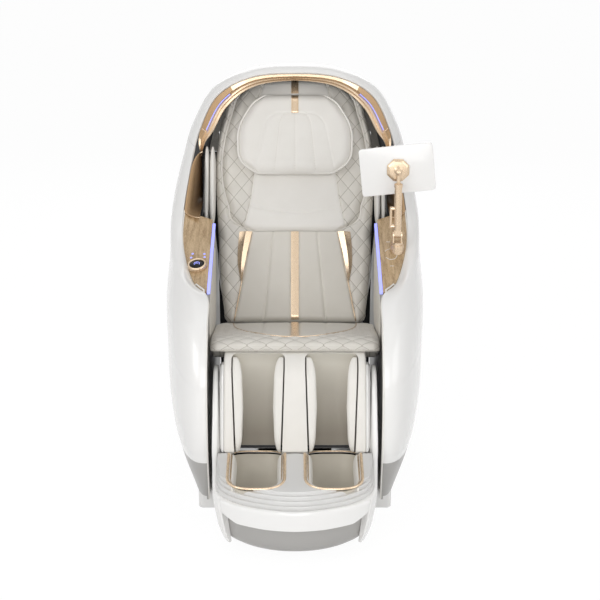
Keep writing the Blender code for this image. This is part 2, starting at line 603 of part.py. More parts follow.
def build_tablet_arm():
    """The socket on the right arm, the turning post, the upright, the ball mount and the tablet."""
    ring_low, ring_high = [], []
    top = arm_top(POST_X, POST_Y) + 0.020
    for a, b in circle(SOCKET_RADIUS, ROUND, (POST_X, POST_Y)):
        ring_low.append(Vector((a, b, arm_top(a, b) + 0.0009)))
        ring_high.append(Vector((a, b, top)))
    node("tablet_socket", loft([ring_low, ring_high]), "champagne")

    post_axis = axis_empty("tablet_post_axis", (POST_X, POST_Y, top))
    cheek, fork = 0.0040, 0.0105
    base = top + SEAT_GAP
    joined = []
    for side in (-1, 1):
        low, high = sorted((POST_X + side * fork, POST_X + side * (fork + cheek)))
        outline = arc((POST_Y, ELBOW_Z), 0.010, 0, 180, 7) + [(POST_Y - 0.010, base), (POST_Y + 0.010, base)]
        joined.append(prism(outline, low, high))
    pin = rod((POST_X - fork - 0.001, POST_Y, ELBOW_Z), (POST_X + fork + 0.001, POST_Y, ELBOW_Z), 0.004, 12)
    disc = rod((POST_X, POST_Y, base), (POST_X, POST_Y, base + 0.009), 0.0175, 20)
    node("tablet_post", disc, "champagne", post_axis, joined=joined + [pin])

    elbow = axis_empty("tablet_link_axis", (POST_X, POST_Y, ELBOW_Z), post_axis)
    r = TUBE_RADIUS
    eye_half = fork - RUNNING_GAP
    outline = arc((POST_Y, ELBOW_Z), 0.0085, 180, 360, 7)
    outline += [(POST_Y + 0.0085, ELBOW_Z + 0.018), (POST_Y - 0.0085, ELBOW_Z + 0.018)]
    eye = prism(outline, POST_X - eye_half, POST_X + eye_half)
    start = ELBOW_Z + 0.0155
    profile = [(0, 0), (r, 0), (r, TUBE_TOP - start), (r + 0.0015, TUBE_TOP - start)]
    profile += [(r + 0.0015, TUBE_TOP - start + 0.010), (0.006, TUBE_TOP - start + 0.013)]
    profile += [(0.006, BALL_Z - 0.009 - start), (0, BALL_Z - 0.009 - start)]
    tube = turned(profile, (POST_X, POST_Y, start), (0, 0, 1))
    strut_x = POST_X - 0.021
    strut = rod((strut_x, POST_Y, ELBOW_Z + 0.024), (strut_x, POST_Y, ELBOW_Z + 0.090), 0.0045, 10)
    links = []
    for rise in (0.028, 0.084):
        links.append(rod((strut_x, POST_Y, ELBOW_Z + rise), (POST_X, POST_Y, ELBOW_Z + rise), 0.0055, 10))
    ball = turned(
        [(0.0105 * math.sin(math.radians(a)), -0.0105 * math.cos(math.radians(a))) for a in range(0, 181, 30)],
        (POST_X, POST_Y, BALL_Z),
        (1, 0, 0),
        12,
    )
    hole = rod((POST_X - 0.02, POST_Y, ELBOW_Z), (POST_X + 0.02, POST_Y, ELBOW_Z), 0.004 * PIN_ALLOWANCE, 12)
    node("tablet_link", tube, "champagne", elbow, joined=[eye, strut, *links, ball], cut=[hole])

    mount = axis_empty("tablet_mount_axis", (POST_X, POST_Y, BALL_Z), elbow)
    plate_y = POST_Y + MOUNT_OFFSET
    plate = prism(circle(0.037, 8, (POST_X, BALL_Z), math.pi / 8), plate_y, plate_y + 0.009, across="y")
    ears = []
    for side in (-1, 1):
        low, high = sorted((POST_X + side * 0.0112, POST_X + side * 0.0152))
        ears.append(block((low, POST_Y - 0.006, BALL_Z - 0.008), (high, plate_y + 0.004, BALL_Z + 0.008)))
    node("tablet_mount", plate, "champagne", mount, joined=ears)

    tablet_axis = axis_empty("tablet_axis", (POST_X, plate_y, BALL_Z), mount)
    face = plate_y + 0.009 + SEAT_GAP
    outline = rounded(TABLET_WIDTH / 2, TABLET_HEIGHT / 2, 0.012, 4)
    roll = math.radians(TABLET_ROLL)
    turned_outline = []
    for a, b in outline:
        x, z = a * math.cos(roll) - b * math.sin(roll), a * math.sin(roll) + b * math.cos(roll)
        turned_outline.append((POST_X - 0.002 + x, BALL_Z + z))
    form = prism(turned_outline, face, face + TABLET_THICK, across="y")
    node("tablet", form, "gloss_white", tablet_axis)


def seat_bottom(y):
    """Height of the seat cushion's underside."""
    return SEAT_REAR_Z - SEAT_THICK + SEAT_RISE * (SEAT_REAR - y)


def build_seat(body):
    """The seat's carriage and cushion."""
    deck_top = [(y, seat_bottom(y) - SEAT_GAP) for y in (0.115, -0.190)]
    deck = deck_top + [(y, z - 0.005) for y, z in reversed(deck_top)]
    half = SIDE_X + SIDE_WALL
    pieces = [prism(deck, -half + 0.001, half - 0.001)]
    pivot_y, pivot_z = BACK_PIVOT
    knee_y, knee_z = LEG_PIVOT
    lug_x, lug_wall = 0.2066, 0.007
    runner_top, runner_low = 0.262, RAIL_BOTTOM + RAIL_WALL + SEAT_GAP
    for side in (-1, 1):
        outline = [(-0.185, seat_bottom(-0.185) - 0.004), (0.115, seat_bottom(0.115) - 0.004)]
        outline += [(0.17, 0.372), (0.195, 0.400)] + arc((pivot_y, pivot_z), 0.022, 130, -90, 9)
        outline += [(0.205, 0.330), (0.180, 0.255), (-0.080, 0.255), (-0.150, 0.330)]
        low, high = sorted((side * SIDE_X, side * (SIDE_X + SIDE_WALL)))
        pieces.append(prism(outline, low, high))
        pin = sorted((side * (SIDE_X + 0.002), side * 0.1955))
        pieces.append(rod((pin[0], pivot_y, pivot_z), (pin[1], pivot_y, pivot_z), PIN_RADIUS))
        inner, outer = BEAM_X - BEAM_WIDTH / 2 + RAIL_WALL, BEAM_X + BEAM_WIDTH / 2 - RAIL_WALL
        low, high = sorted((side * (inner + RUNNING_GAP), side * (outer - RUNNING_GAP)))
        pieces.append(block((low, -0.060, runner_low), (high, 0.180, runner_top)))
        lug = arc((knee_y, knee_z), 0.016, 90, 270, 7)
        lug += [(-0.200, 0.385), (-0.165, 0.385), (-0.165, 0.425), (-0.205, 0.431)]
        low, high = sorted((side * lug_x, side * (lug_x + lug_wall)))
        pieces.append(prism(lug, low, high))
        low, high = sorted((side * lug_x, side * (SIDE_X + SIDE_WALL)))
        pieces.append(block((low, -0.185, 0.390), (high, -0.160, 0.420)))
        pin = sorted((side * (lug_x + 0.002), side * (CALF_INNER + 0.002)))
        pieces.append(rod((pin[0], knee_y, knee_z), (pin[1], knee_y, knee_z), PIN_RADIUS - 0.001))
    tube_z = ACTUATOR_BOTTOM - SEAT_GAP - 0.010
    for y in (-0.030, 0.130):
        pieces.append(rod((-SIDE_X - 0.003, y, tube_z), (SIDE_X + 0.003, y, tube_z), 0.010, 12))
    node("seat_frame", pieces[0], "steel", body, joined=pieces[1:])

    top = [(SEAT_REAR - 0.004, SEAT_REAR_Z), (0.10, 0.451), (0.0, 0.474), (-0.10, 0.498), (-0.18, 0.518)]
    top += [(-0.235, 0.530), (-0.275, 0.533), (-0.302, 0.527), (-0.317, 0.516)]
    gap = KNEE_RADIUS + KNEE_GAP
    under = [(knee_y + a, knee_z + b) for a, b in arc((0, 0), gap, 101, 22, 6)]
    under += [(-0.195, seat_bottom(-0.195)), (-0.10, seat_bottom(-0.10)), (0.0, seat_bottom(0.0))]
    under += [(0.10, seat_bottom(0.10)), (SEAT_REAR, seat_bottom(0.10) + 0.006), (SEAT_REAR + 0.002, 0.410)]
    outline = top + under
    middle = (-0.08, 0.465)
    rings = []
    for share in (-1, -0.985, -0.93, -0.8, -0.4, 0, 0.4, 0.8, 0.93, 0.985, 1):
        size = {1: 0.72, 0.985: 0.88, 0.93: 0.97}.get(abs(share), 1.0)
        crown = 0.006 * (1 - abs(share) ** 2)
        ring = []
        for k, (y, z) in enumerate(outline):
            lift = crown if k < len(top) - 1 else 0.0
            draw_y, draw_z = middle[0] + (y - middle[0]) * (0.4 + 0.6 * size), middle[1] + (z - middle[1]) * size
            ring.append(Vector((share * SEAT_HALF, draw_y, draw_z + lift - 0.006)))
        rings.append(ring)
    lowered = [[point + Vector((0, 0, 0.006 if point.z < middle[1] + 0.04 else 0.0)) for point in ring] for ring in rings]
    node("seat_pad", loft(lowered), "leather", body)


def build_actuators(seat_body, back_rod_body, leg_rod_body):
    """The two linear drives under the seat: each body is bolted to the seat, and its rod works a slotted lever."""
    back_h = LEVER * math.cos(math.radians(BACK_SWING / 2))
    leg_h = LEVER * math.cos(math.radians(LEG_SWING / 2))
    back_reach = back_h * math.tan(math.radians(BACK_SWING / 2))
    leg_reach = leg_h * math.tan(math.radians(LEG_SWING / 2))
    back_z, leg_z = BACK_PIVOT[1] - back_h, LEG_PIVOT[1] - leg_h
    back_pin_y, leg_pin_y = BACK_PIVOT[0] + back_reach, LEG_PIVOT[0] + leg_reach
    for name, x, z, pin_y, way, body, mouth, length, pin_length in (
        ("back", 0.060, back_z, back_pin_y, 1, back_rod_body, 0.150, 0.19, 0.030),
        ("leg", -0.060, leg_z, leg_pin_y, -1, leg_rod_body, -0.115, 0.26, 0.044),
    ):
        tail = mouth - way * length
        height = z + 0.0195
        low, high = sorted((mouth, tail))
        case = prism(rounded((high - low) / 2, (height - ACTUATOR_BOTTOM) / 2, 0.008, 3,
                             ((low + high) / 2, (height + ACTUATOR_BOTTOM) / 2)), x - 0.020, x + 0.020)
        motor = rod((x, tail + way * 0.035, z), (x + (0.060 if x < 0 else -0.060), tail + way * 0.035, z), 0.018, 14)
        travel = 2 * (back_reach if name == "back" else leg_reach)
        deepest = ROD_HELD + travel
        at_rest = ROD_HELD if way > 0 else deepest  # the back's rod draws in as it works, the leg's pushes out
        bore_end = mouth - way * (deepest + 0.01)
        bore = rod((x, mouth + way * 0.01, z), (x, bore_end, z), ROD_RADIUS * PIN_ALLOWANCE)
        node(f"{name}_actuator", case, "dark_plastic", seat_body, joined=[motor], cut=[bore])
        stem = rod((x, mouth - way * at_rest, z), (x, pin_y - way * 0.001, z), ROD_RADIUS)
        inner_x = -math.copysign(1, x)
        yoke = rod((x - 0.009, pin_y, z), (x + 0.009, pin_y, z), ROD_RADIUS - 0.0002)
        pin = rod((x, pin_y, z), (x + inner_x * pin_length, pin_y, z), LEVER_PIN, 12)
        node(f"{name}_rod", stem, "steel", body, joined=[yoke, pin])
    return back_z, leg_z


def slotted_lever(pivot, swing, x_low, x_high, root, half_width, pin_height):
    """A lever that hangs from a pivot at rest by half its swing, and the slot that its pin runs in."""
    angle = math.radians(swing / 2)
    way = Vector((0, math.sin(angle), -math.cos(angle)))
    side = Vector((0, way.z, -way.y))
    centre = Vector((0, pivot[0], pivot[1]))

    def ring(x, points):
        return [centre + way * a + side * b + Vector((x, 0, 0)) for a, b in points]

    near, far = pin_height, LEVER
    end = half_width + 0.006
    plate = [(root, -end), (root, end), (far, end), (far + end * 0.7, end * 0.7), (far + end, 0)]
    plate += [(far + end * 0.7, -end * 0.7), (far, -end)]
    slot, end_room = [], LEVER_PIN + 0.0015
    for middle, turn in ((near, 90), (far, -90)):
        for a in np.linspace(math.radians(turn), math.radians(turn + 180), 7):
            slot.append((middle + end_room * math.cos(a), half_width * math.sin(a)))
    body = loft([ring(x_low, plate), ring(x_high, plate)])
    hole = loft([ring(x_low - 0.01, slot), ring(x_high + 0.01, slot)])
    return body, hole


def upper_half(s):
    """Half the width of the upper back pad at height s along the back."""
    table = ((0.306, 0.140), (0.330, 0.186), (0.400, 0.220), (0.490, 0.240), (0.600, 0.236))
    table += ((0.700, 0.212), (0.780, 0.180), (0.808, 0.150), (0.823, 0.105))
    return float(np.interp(s, [t[0] for t in table], [t[1] for t in table]))


def lower_half(s):
    """Half the width of the lower back pad and its wings."""
    table = ((0.008, 0.222), (0.05, 0.231), (0.24, 0.248), (0.34, 0.254), (0.59, 0.2585), (0.70, 0.238))
    table += ((0.76, 0.209), (0.77, 0.190))
    return float(np.interp(s, [t[0] for t in table], [t[1] for t in table]))


def cushion(stations, half, front, back, columns, body_frame, edge=0.4):
    """A cushion in a leaning frame: rings across it, crowned in front, drawn in at the sides, flat behind."""
    rings = []
    for s in stations:
        wide = half(s)
        rear = back(s)
        ring = []
        for c in columns:
            depth = front(c * wide, s)
            if abs(c) == 1:
                depth = rear + (depth - rear) * edge
            ring.append(body_frame.at(c * wide, depth, s))
        for c in (1, 0.5, 0, -0.5, -1):
            ring.append(body_frame.at(c * (wide - 0.004), rear, s))
        rings.append(ring)
    return loft(rings)


def end_fade(s, low, high, run):
    """0 at the two ends of a cushion, rising to 1 over a run, as a quarter round."""
    near = min(s - low, high - s) / run
    return math.sqrt(max(0.0, 1 - (1 - min(near, 1.0)) ** 2))


def build_back(body):
    """The back's frame with its tracks and lever, its rear cover, its pads and the pillow."""
    x1, x0 = TRACK_X, TRACK_X - TRACK_WIDTH
    front, rear, wall = PAD_BACK + SEAT_GAP, TRACK_REAR, TRACK_WALL
    pieces = []
    for side in (-1, 1):
        outline = [(x0, front), (x1, front), (x1, rear), (x0, rear), (x0, rear - wall), (x1 - wall, rear - wall)]
        outline += [(x1 - wall, front + wall), (x0, front + wall)]
        outline = [(side * x, y) for x, y in outline]
        pieces.append(prism(outline, -0.004, TRACK_TOP, BACK, "z"))
        low, high = sorted((side * (x1 - wall), side * 0.2125))
        lug = arc((0, 0), 0.024, 0, 360, 17)[:-1]
        pieces.append(prism(lug, low, high, BACK))
    for s, height in ((0.022, 0.030), (TRACK_TOP - 0.025, 0.030)):
        low = (-x1 + 0.002, -0.012, s - height / 2)
        pieces.append(block(low, (x1 - 0.002, rear - 0.001, s + height / 2), BACK))
    top_plate = [(-0.150, TRACK_TOP + 0.035), (0.150, TRACK_TOP + 0.035), (x1 - 0.001, TRACK_TOP - 0.01),
                 (x1 - 0.001, TRACK_TOP - 0.045), (-x1 + 0.001, TRACK_TOP - 0.045), (-x1 + 0.001, TRACK_TOP - 0.01)]
    pieces.append(prism(top_plate, front + 0.0004, front + wall - 0.0005, BACK, "y"))
    lever_h = LEVER * math.cos(math.radians(BACK_SWING / 2))
    lever, slot = slotted_lever(BACK_PIVOT, BACK_SWING, 0.036, 0.044, -0.025, 0.0075, lever_h)
    holes = [slot]
    for side in (-1, 1):
        start, end = BACK.at(side * 0.17, 0, 0), BACK.at(side * 0.22, 0, 0)
        holes.append(rod(start, end, PIN_RADIUS * PIN_ALLOWANCE))
    node("back_frame", pieces[0], "steel", body, joined=pieces[1:] + [lever], cut=holes)

    outer, inner = [], []
    for s in (0.032, 0.06, 0.2, 0.4, 0.6, 0.7, 0.76, 0.80, 0.81):
        half = COVER_HALF if s < 0.65 else min(COVER_HALF, lower_half(min(s, 0.74)) - 0.006)
        if s > 0.74:
            half = float(np.interp(s, [0.74, 0.78, 0.80, 0.81], [half, 0.200, 0.178, 0.165]))
        sag = {0.80: 0.030, 0.81: 0.055}.get(s, 0.0)
        row, under = [], []
        for c in (-1, -0.97, -0.88, -0.7, -0.35, 0, 0.35, 0.7, 0.88, 0.97, 1):
            rim_depth = PAD_BACK + SEAT_GAP
            depth = COVER_REAR - sag - (COVER_REAR - sag - rim_depth) * abs(c) ** 7
            row.append(BACK.at(c * half, depth, s))
            pull = COVER_WALL / half
            flat = COVER_WALL * (1 - abs(c) ** 3)
            under.append(BACK.at(c * half * (1 - pull), depth - flat, s))
        outer.append(row)
        inner.append(under)
    node("back_cover", slab(outer, inner), "gloss_white", body)

    def lower_front(x, s):
        panel = float(np.interp(s, [0.0, 0.30], [0.199, 0.1437]))
        edge = upper_half(s) + 0.004 if s > 0.3055 else 0.0
        if s > 0.3055 and abs(x) < edge + 0.002:
            return UPPER_BACK
        fade = end_fade(s, 0.0, 0.775, 0.035)
        seam = 0.007 if s < 0.3055 and abs(abs(x) - panel) < 0.004 else 0.0
        channel = 0.006 if s < 0.3055 and abs(abs(x) - 0.098) < 0.012 else 0.0
        crown = 0.006 * math.cos(min(abs(x) / panel, 1.0) * math.pi / 2) if s < 0.3055 else 0.0
        return PAD_BACK + (PAD_FRONT - crown + seam + channel - PAD_BACK) * (0.35 + 0.65 * fade)

    stations = [0.008, 0.016, 0.045, 0.12, 0.2, 0.27, 0.305, 0.3055 + 0.0015, 0.33, 0.40, 0.49, 0.60, 0.70, 0.755, 0.77]
    rings = []
    for s in stations:
        wide = lower_half(s)
        seam_x = float(np.interp(s, [0.0, 0.30], [0.199, 0.1437])) if s < 0.3055 else upper_half(s) + 0.003
        seam_x = min(seam_x, wide - 0.012)
        xs = [wide, wide - 0.005, (wide + seam_x) / 2, seam_x + 0.006, seam_x, seam_x - 0.008, 0.098, 0.05, 0.0]
        if s > 0.3055:
            xs[5] = seam_x - 0.012
        ring = [BACK.at(x, lower_front(x, s) if k else PAD_BACK + (lower_front(x, s) - PAD_BACK) * 0.45, s)
                for k, x in enumerate(xs)]
        ring += [BACK.at(-x, lower_front(x, s) if k + 1 < len(xs) else PAD_BACK + (lower_front(x, s) - PAD_BACK) * 0.45, s)
                 for k, x in enumerate(reversed(xs[:-1]), 0)]
        ring += [BACK.at(c * (wide - 0.004), PAD_BACK, s) for c in (-1, -0.5, 0, 0.5, 1)]
        rings.append(ring)
    node("lower_back_pad", loft(rings), "leather", body)

    def upper_front(x, s):
        fade = end_fade(s, 0.300, 0.830, 0.035)
        wide = upper_half(s)
        crown = 0.010 * math.cos(min(abs(x) / wide, 1.0) * math.pi / 2)
        seam = 0.005 if abs(s - 0.392) < 0.004 else 0.0
        return UPPER_BACK + (PAD_FRONT - 0.006 - crown + seam - UPPER_BACK) * (0.35 + 0.65 * fade)

    columns = (-1, -0.975, -0.85, -0.6, -0.3, 0, 0.3, 0.6, 0.85, 0.975, 1)
    stations = (0.3075, 0.316, 0.335, 0.385, 0.392, 0.40, 0.44, 0.49, 0.56, 0.63, 0.70, 0.75, 0.785, 0.81, 0.823)
    form = cushion(stations, upper_half, upper_front, lambda s: UPPER_BACK - SEAT_GAP, columns, BACK)
    node("upper_back_pad", form, "pale_leather", body)


def build_pillow(body):
    """The head pillow, which hangs from the top of the upper pad and folds up from its lower edge."""

    def half(s):
        return float(np.interp(s, [0.492, 0.51, 0.60, 0.70, 0.755, 0.77], [0.124, 0.150, 0.187, 0.160, 0.112, 0.095]))

    def rear(s):
        return PAD_FRONT - 0.0163

    def front(x, s):
        crown = 0.012 * math.cos(min(abs(x) / half(s), 1.0) * math.pi / 2)
        fade = end_fade(s, 0.487, 0.775, 0.035)
        return rear(s) + (-0.034 - crown) * (0.3 + 0.7 * fade)

    columns = (-1, -0.95, -0.75, -0.4, 0, 0.4, 0.75, 0.95, 1)
    stations = (0.492, 0.502, 0.53, 0.57, 0.62, 0.68, 0.73, 0.757, 0.77)
    node("head_pillow", cushion(stations, half, front, rear, columns, BACK), "pale_leather", body)


def build_massage(carriage_body, arm_bodies, roller_bodies):
    """The carriage in its tracks, two rocking arms and four rollers."""
    s = CARRIAGE_S
    x_guide = TRACK_X - TRACK_WALL - RUNNING_GAP
    low_y, high_y = PAD_BACK + SEAT_GAP + TRACK_WALL + 0.0005, TRACK_REAR - TRACK_WALL - 0.0005
    case = prism(rounded(0.036, 0.075, 0.014, 3, (0.0, s)), 0.000, 0.055, BACK, "y")
    joined = [block((-0.150, 0.0185, s - 0.050), (0.150, 0.028, s + 0.050), BACK)]
    for side in (-1, 1):
        for reach in (-0.040, 0.040):
            low, high = sorted((side * 0.140, side * x_guide))
            guide = block((low, low_y, s + reach - 0.012), (high, high_y, s + reach + 0.012), BACK)
            joined.append(guide)
    joined.append(rod(BACK.at(-0.072, 0.0, s), BACK.at(0.072, 0.0, s), 0.008))
    joined.append(rod(BACK.at(0.0, 0.030, s + 0.06), BACK.at(0.0, 0.030, s + 0.095), 0.020, 14))
    node("massage_carriage", case, "dark_plastic", carriage_body, joined=joined)

    reach = ROLLER_REACH
    for side, word in ((-1, "left"), (1, "right")):
        outline = [(-0.026, s + reach), (-0.018, s + reach + 0.009), (-0.008, s + reach + 0.006)]
        outline += [(0.003, s + 0.022), (0.003, s - 0.022), (-0.008, s - reach - 0.006)]
        outline += [(-0.018, s - reach - 0.009), (-0.026, s - reach), (-0.014, s - 0.014), (-0.014, s + 0.014)]
        low, high = sorted((side * ARM_X, side * (ARM_X + 0.010)))
        arm = prism(outline, low, high, BACK)
        hub = prism(circle(0.013, 14, (0.0, s)), low, high, BACK)
        axles = []
        for way in (-1, 1):
            start = BACK.at(side * (ARM_X + 0.005), ROLLER_Y, s + way * reach)
            end = BACK.at(side * (ARM_X + 0.010 + ROLLER_WIDTH + 0.003), ROLLER_Y, s + way * reach)
            axles.append(rod(start, end, ROLLER_AXLE, 10))
        hole = rod(BACK.at(low - 0.01, 0, s), BACK.at(high + 0.01, 0, s), 0.008 * PIN_ALLOWANCE)
        name = f"massage_arm_{word}"
        node(name, arm, "dark_plastic", arm_bodies[word], joined=[hub, *axles], cut=[hole])
        for way, level in ((-1, "lower"), (1, "upper")):
            r, w = ROLLER_RADIUS, ROLLER_WIDTH
            bore = ROLLER_AXLE * PIN_ALLOWANCE
            profile = [(bore, 0), (r - 0.009, 0), (r - 0.001, w * 0.25), (r, w * 0.5)]
            profile += [(r - 0.001, w * 0.75), (r - 0.009, w), (bore, w)]
            origin = BACK.at(side * (ARM_X + 0.010 + RUNNING_GAP), ROLLER_Y, s + way * reach)
            form = turned(profile, origin, (side, 0, 0), 14, bored=True)
            node(f"roller_{level}_{word}", form, "soft_grey", roller_bodies[level, word])


def build_calf(body):
    """The calf unit's frame, with its wells, guide bushes and lever, and the padded liner of each well."""
    knee = KNEE_RADIUS

    def side_outline(front):
        top = arc((0, 0), knee, 180, 50, 7)
        return [(CALF_REAR, CALF_BOTTOM), (front, CALF_BOTTOM)] + top + [(CALF_REAR, 0.030)]

    outline = side_outline(CALF_FRONT)
    pieces = [prism(outline, -CALF_OUTER, -CALF_INNER, LEG), prism(outline, CALF_INNER, CALF_OUTER, LEG)]
    pieces.append(prism(outline, -CALF_POST, CALF_POST, LEG))
    low, high, rear = CALF_BOTTOM + 0.0005, 0.0295, CALF_REAR - 0.0005
    wall = [(0.045, low), (rear, low), (rear, high), (0.045, high)]
    pieces.append(prism(wall, -CALF_OUTER + 0.001, CALF_OUTER - 0.001, LEG))
    for side in (-1, 1):
        low, high = sorted((side * (CALF_OUTER - 0.002), side * 0.2195))
        edge, foot = CALF_FRONT + 0.0006, CALF_BOTTOM + 0.0006
        flange = [(edge, foot), (-0.050, foot), (-0.050, -0.050), (edge, -0.040)]
        pieces.append(prism(flange, low, high, LEG))
        bush = rounded(0.015, 0.016, 0.006, 3, (side * GUIDE_X, GUIDE_Y - 0.002))
        pieces.append(prism(bush, -0.205, -0.170, LEG, "z"))
    lever_h = LEVER * math.cos(math.radians(LEG_SWING / 2))
    lever, slot = slotted_lever(LEG_PIVOT, LEG_SWING, -0.028, -0.020, 0.040, 0.0105, lever_h)
    holes = [slot]
    for side in (-1, 1):
        hole = prism(circle(GUIDE_RADIUS * PIN_ALLOWANCE, 12, (side * GUIDE_X, GUIDE_Y)), -0.25, -0.10, LEG, "z")
        holes.append(hole)
        start, end = LEG.at(side * (CALF_INNER + 0.001), 0, 0), LEG.at(side * 0.21, 0, 0)
        holes.append(rod(start, end, (PIN_RADIUS - 0.001) * PIN_ALLOWANCE))
    node("calf_frame", pieces[0], "leather", body, joined=pieces[1:] + [lever], cut=holes)

    fit = 0.0004
    inner, outer = CALF_POST + fit, CALF_INNER - fit
    rear = 0.045 - fit
    for side, word in ((-1, "left"), (1, "right")):
        rings = []
        for s in (CALF_BOTTOM + 0.001, -0.200, -0.150, -0.090, -0.030, 0.020, 0.040):
            front = CALF_FRONT + 0.003 if s <= 0 else -math.sqrt((knee - 0.004) ** 2 - s**2)
            swell = 0.026 * end_fade(s, CALF_BOTTOM - 0.004, 0.046, 0.05)
            back_pad = 0.010 + 0.004 * end_fade(s, CALF_BOTTOM - 0.004, 0.046, 0.05)
            ring = [(inner, front), (inner, rear), (outer, rear), (outer, front)]
            middle = (front + rear) / 2
            for x_wall, way in ((outer, -1), (inner, 1)):
                bag = [(x_wall + way * 0.010, front), (x_wall + way * swell, front + 0.020)]
                bag += [(x_wall + way * swell, middle), (x_wall + way * 0.012, rear - back_pad - 0.012)]
                bag.append((x_wall + way * 0.020, rear - back_pad))
                ring += bag if way < 0 else list(reversed(bag))
            rings.append([LEG.at(side * x, y, s) for x, y in ring])
        node(f"calf_pad_{word}", loft(rings), "leather", body)


def foot_plan(t, grow=0.0):
    """A point on the foot unit's outline from above, for t from -1 at the left rear to 1 at the right rear."""
    half, corner = FOOT_HALF + grow, 0.105
    front, rear = FOOT_FRONT - grow, FOOT_REAR
    side = math.copysign(1.0, t) if t else 1.0
    share = abs(t)
    turn_end = front + corner
    if share > 0.55:
        run = (share - 0.55) / 0.45
        return side * half, turn_end + (rear - turn_end) * run
    angle = share / 0.55 * math.pi / 2
    flat = half - 0.150
    x = flat * math.sin(angle) ** 2 + 0.150 * math.sin(angle)
    return side * min(x, half), front + corner * (1 - math.cos(angle) ** 0.9)


def plan_half(y, grow):
    """Half the width of the foot unit's outline at depth y."""
    points = [foot_plan(t, grow) for t in FOOT_TURNS]
    return float(np.interp(y, [p[1] for p in points], [p[0] for p in points]))


def wing_top(y):
    """Height of the foot housing's upper edge."""
    table = ((-0.69, 0.168), (-0.62, 0.182), (-0.55, 0.208), (-0.50, 0.228), (-0.45, 0.262), (-0.42, 0.320))
    table += ((-0.385, 0.395), (-0.35, 0.440), (-0.315, 0.456), (-0.285, 0.448), (-0.270, 0.425))
    return float(np.interp(y, [t[0] for t in table], [t[1] for t in table]))


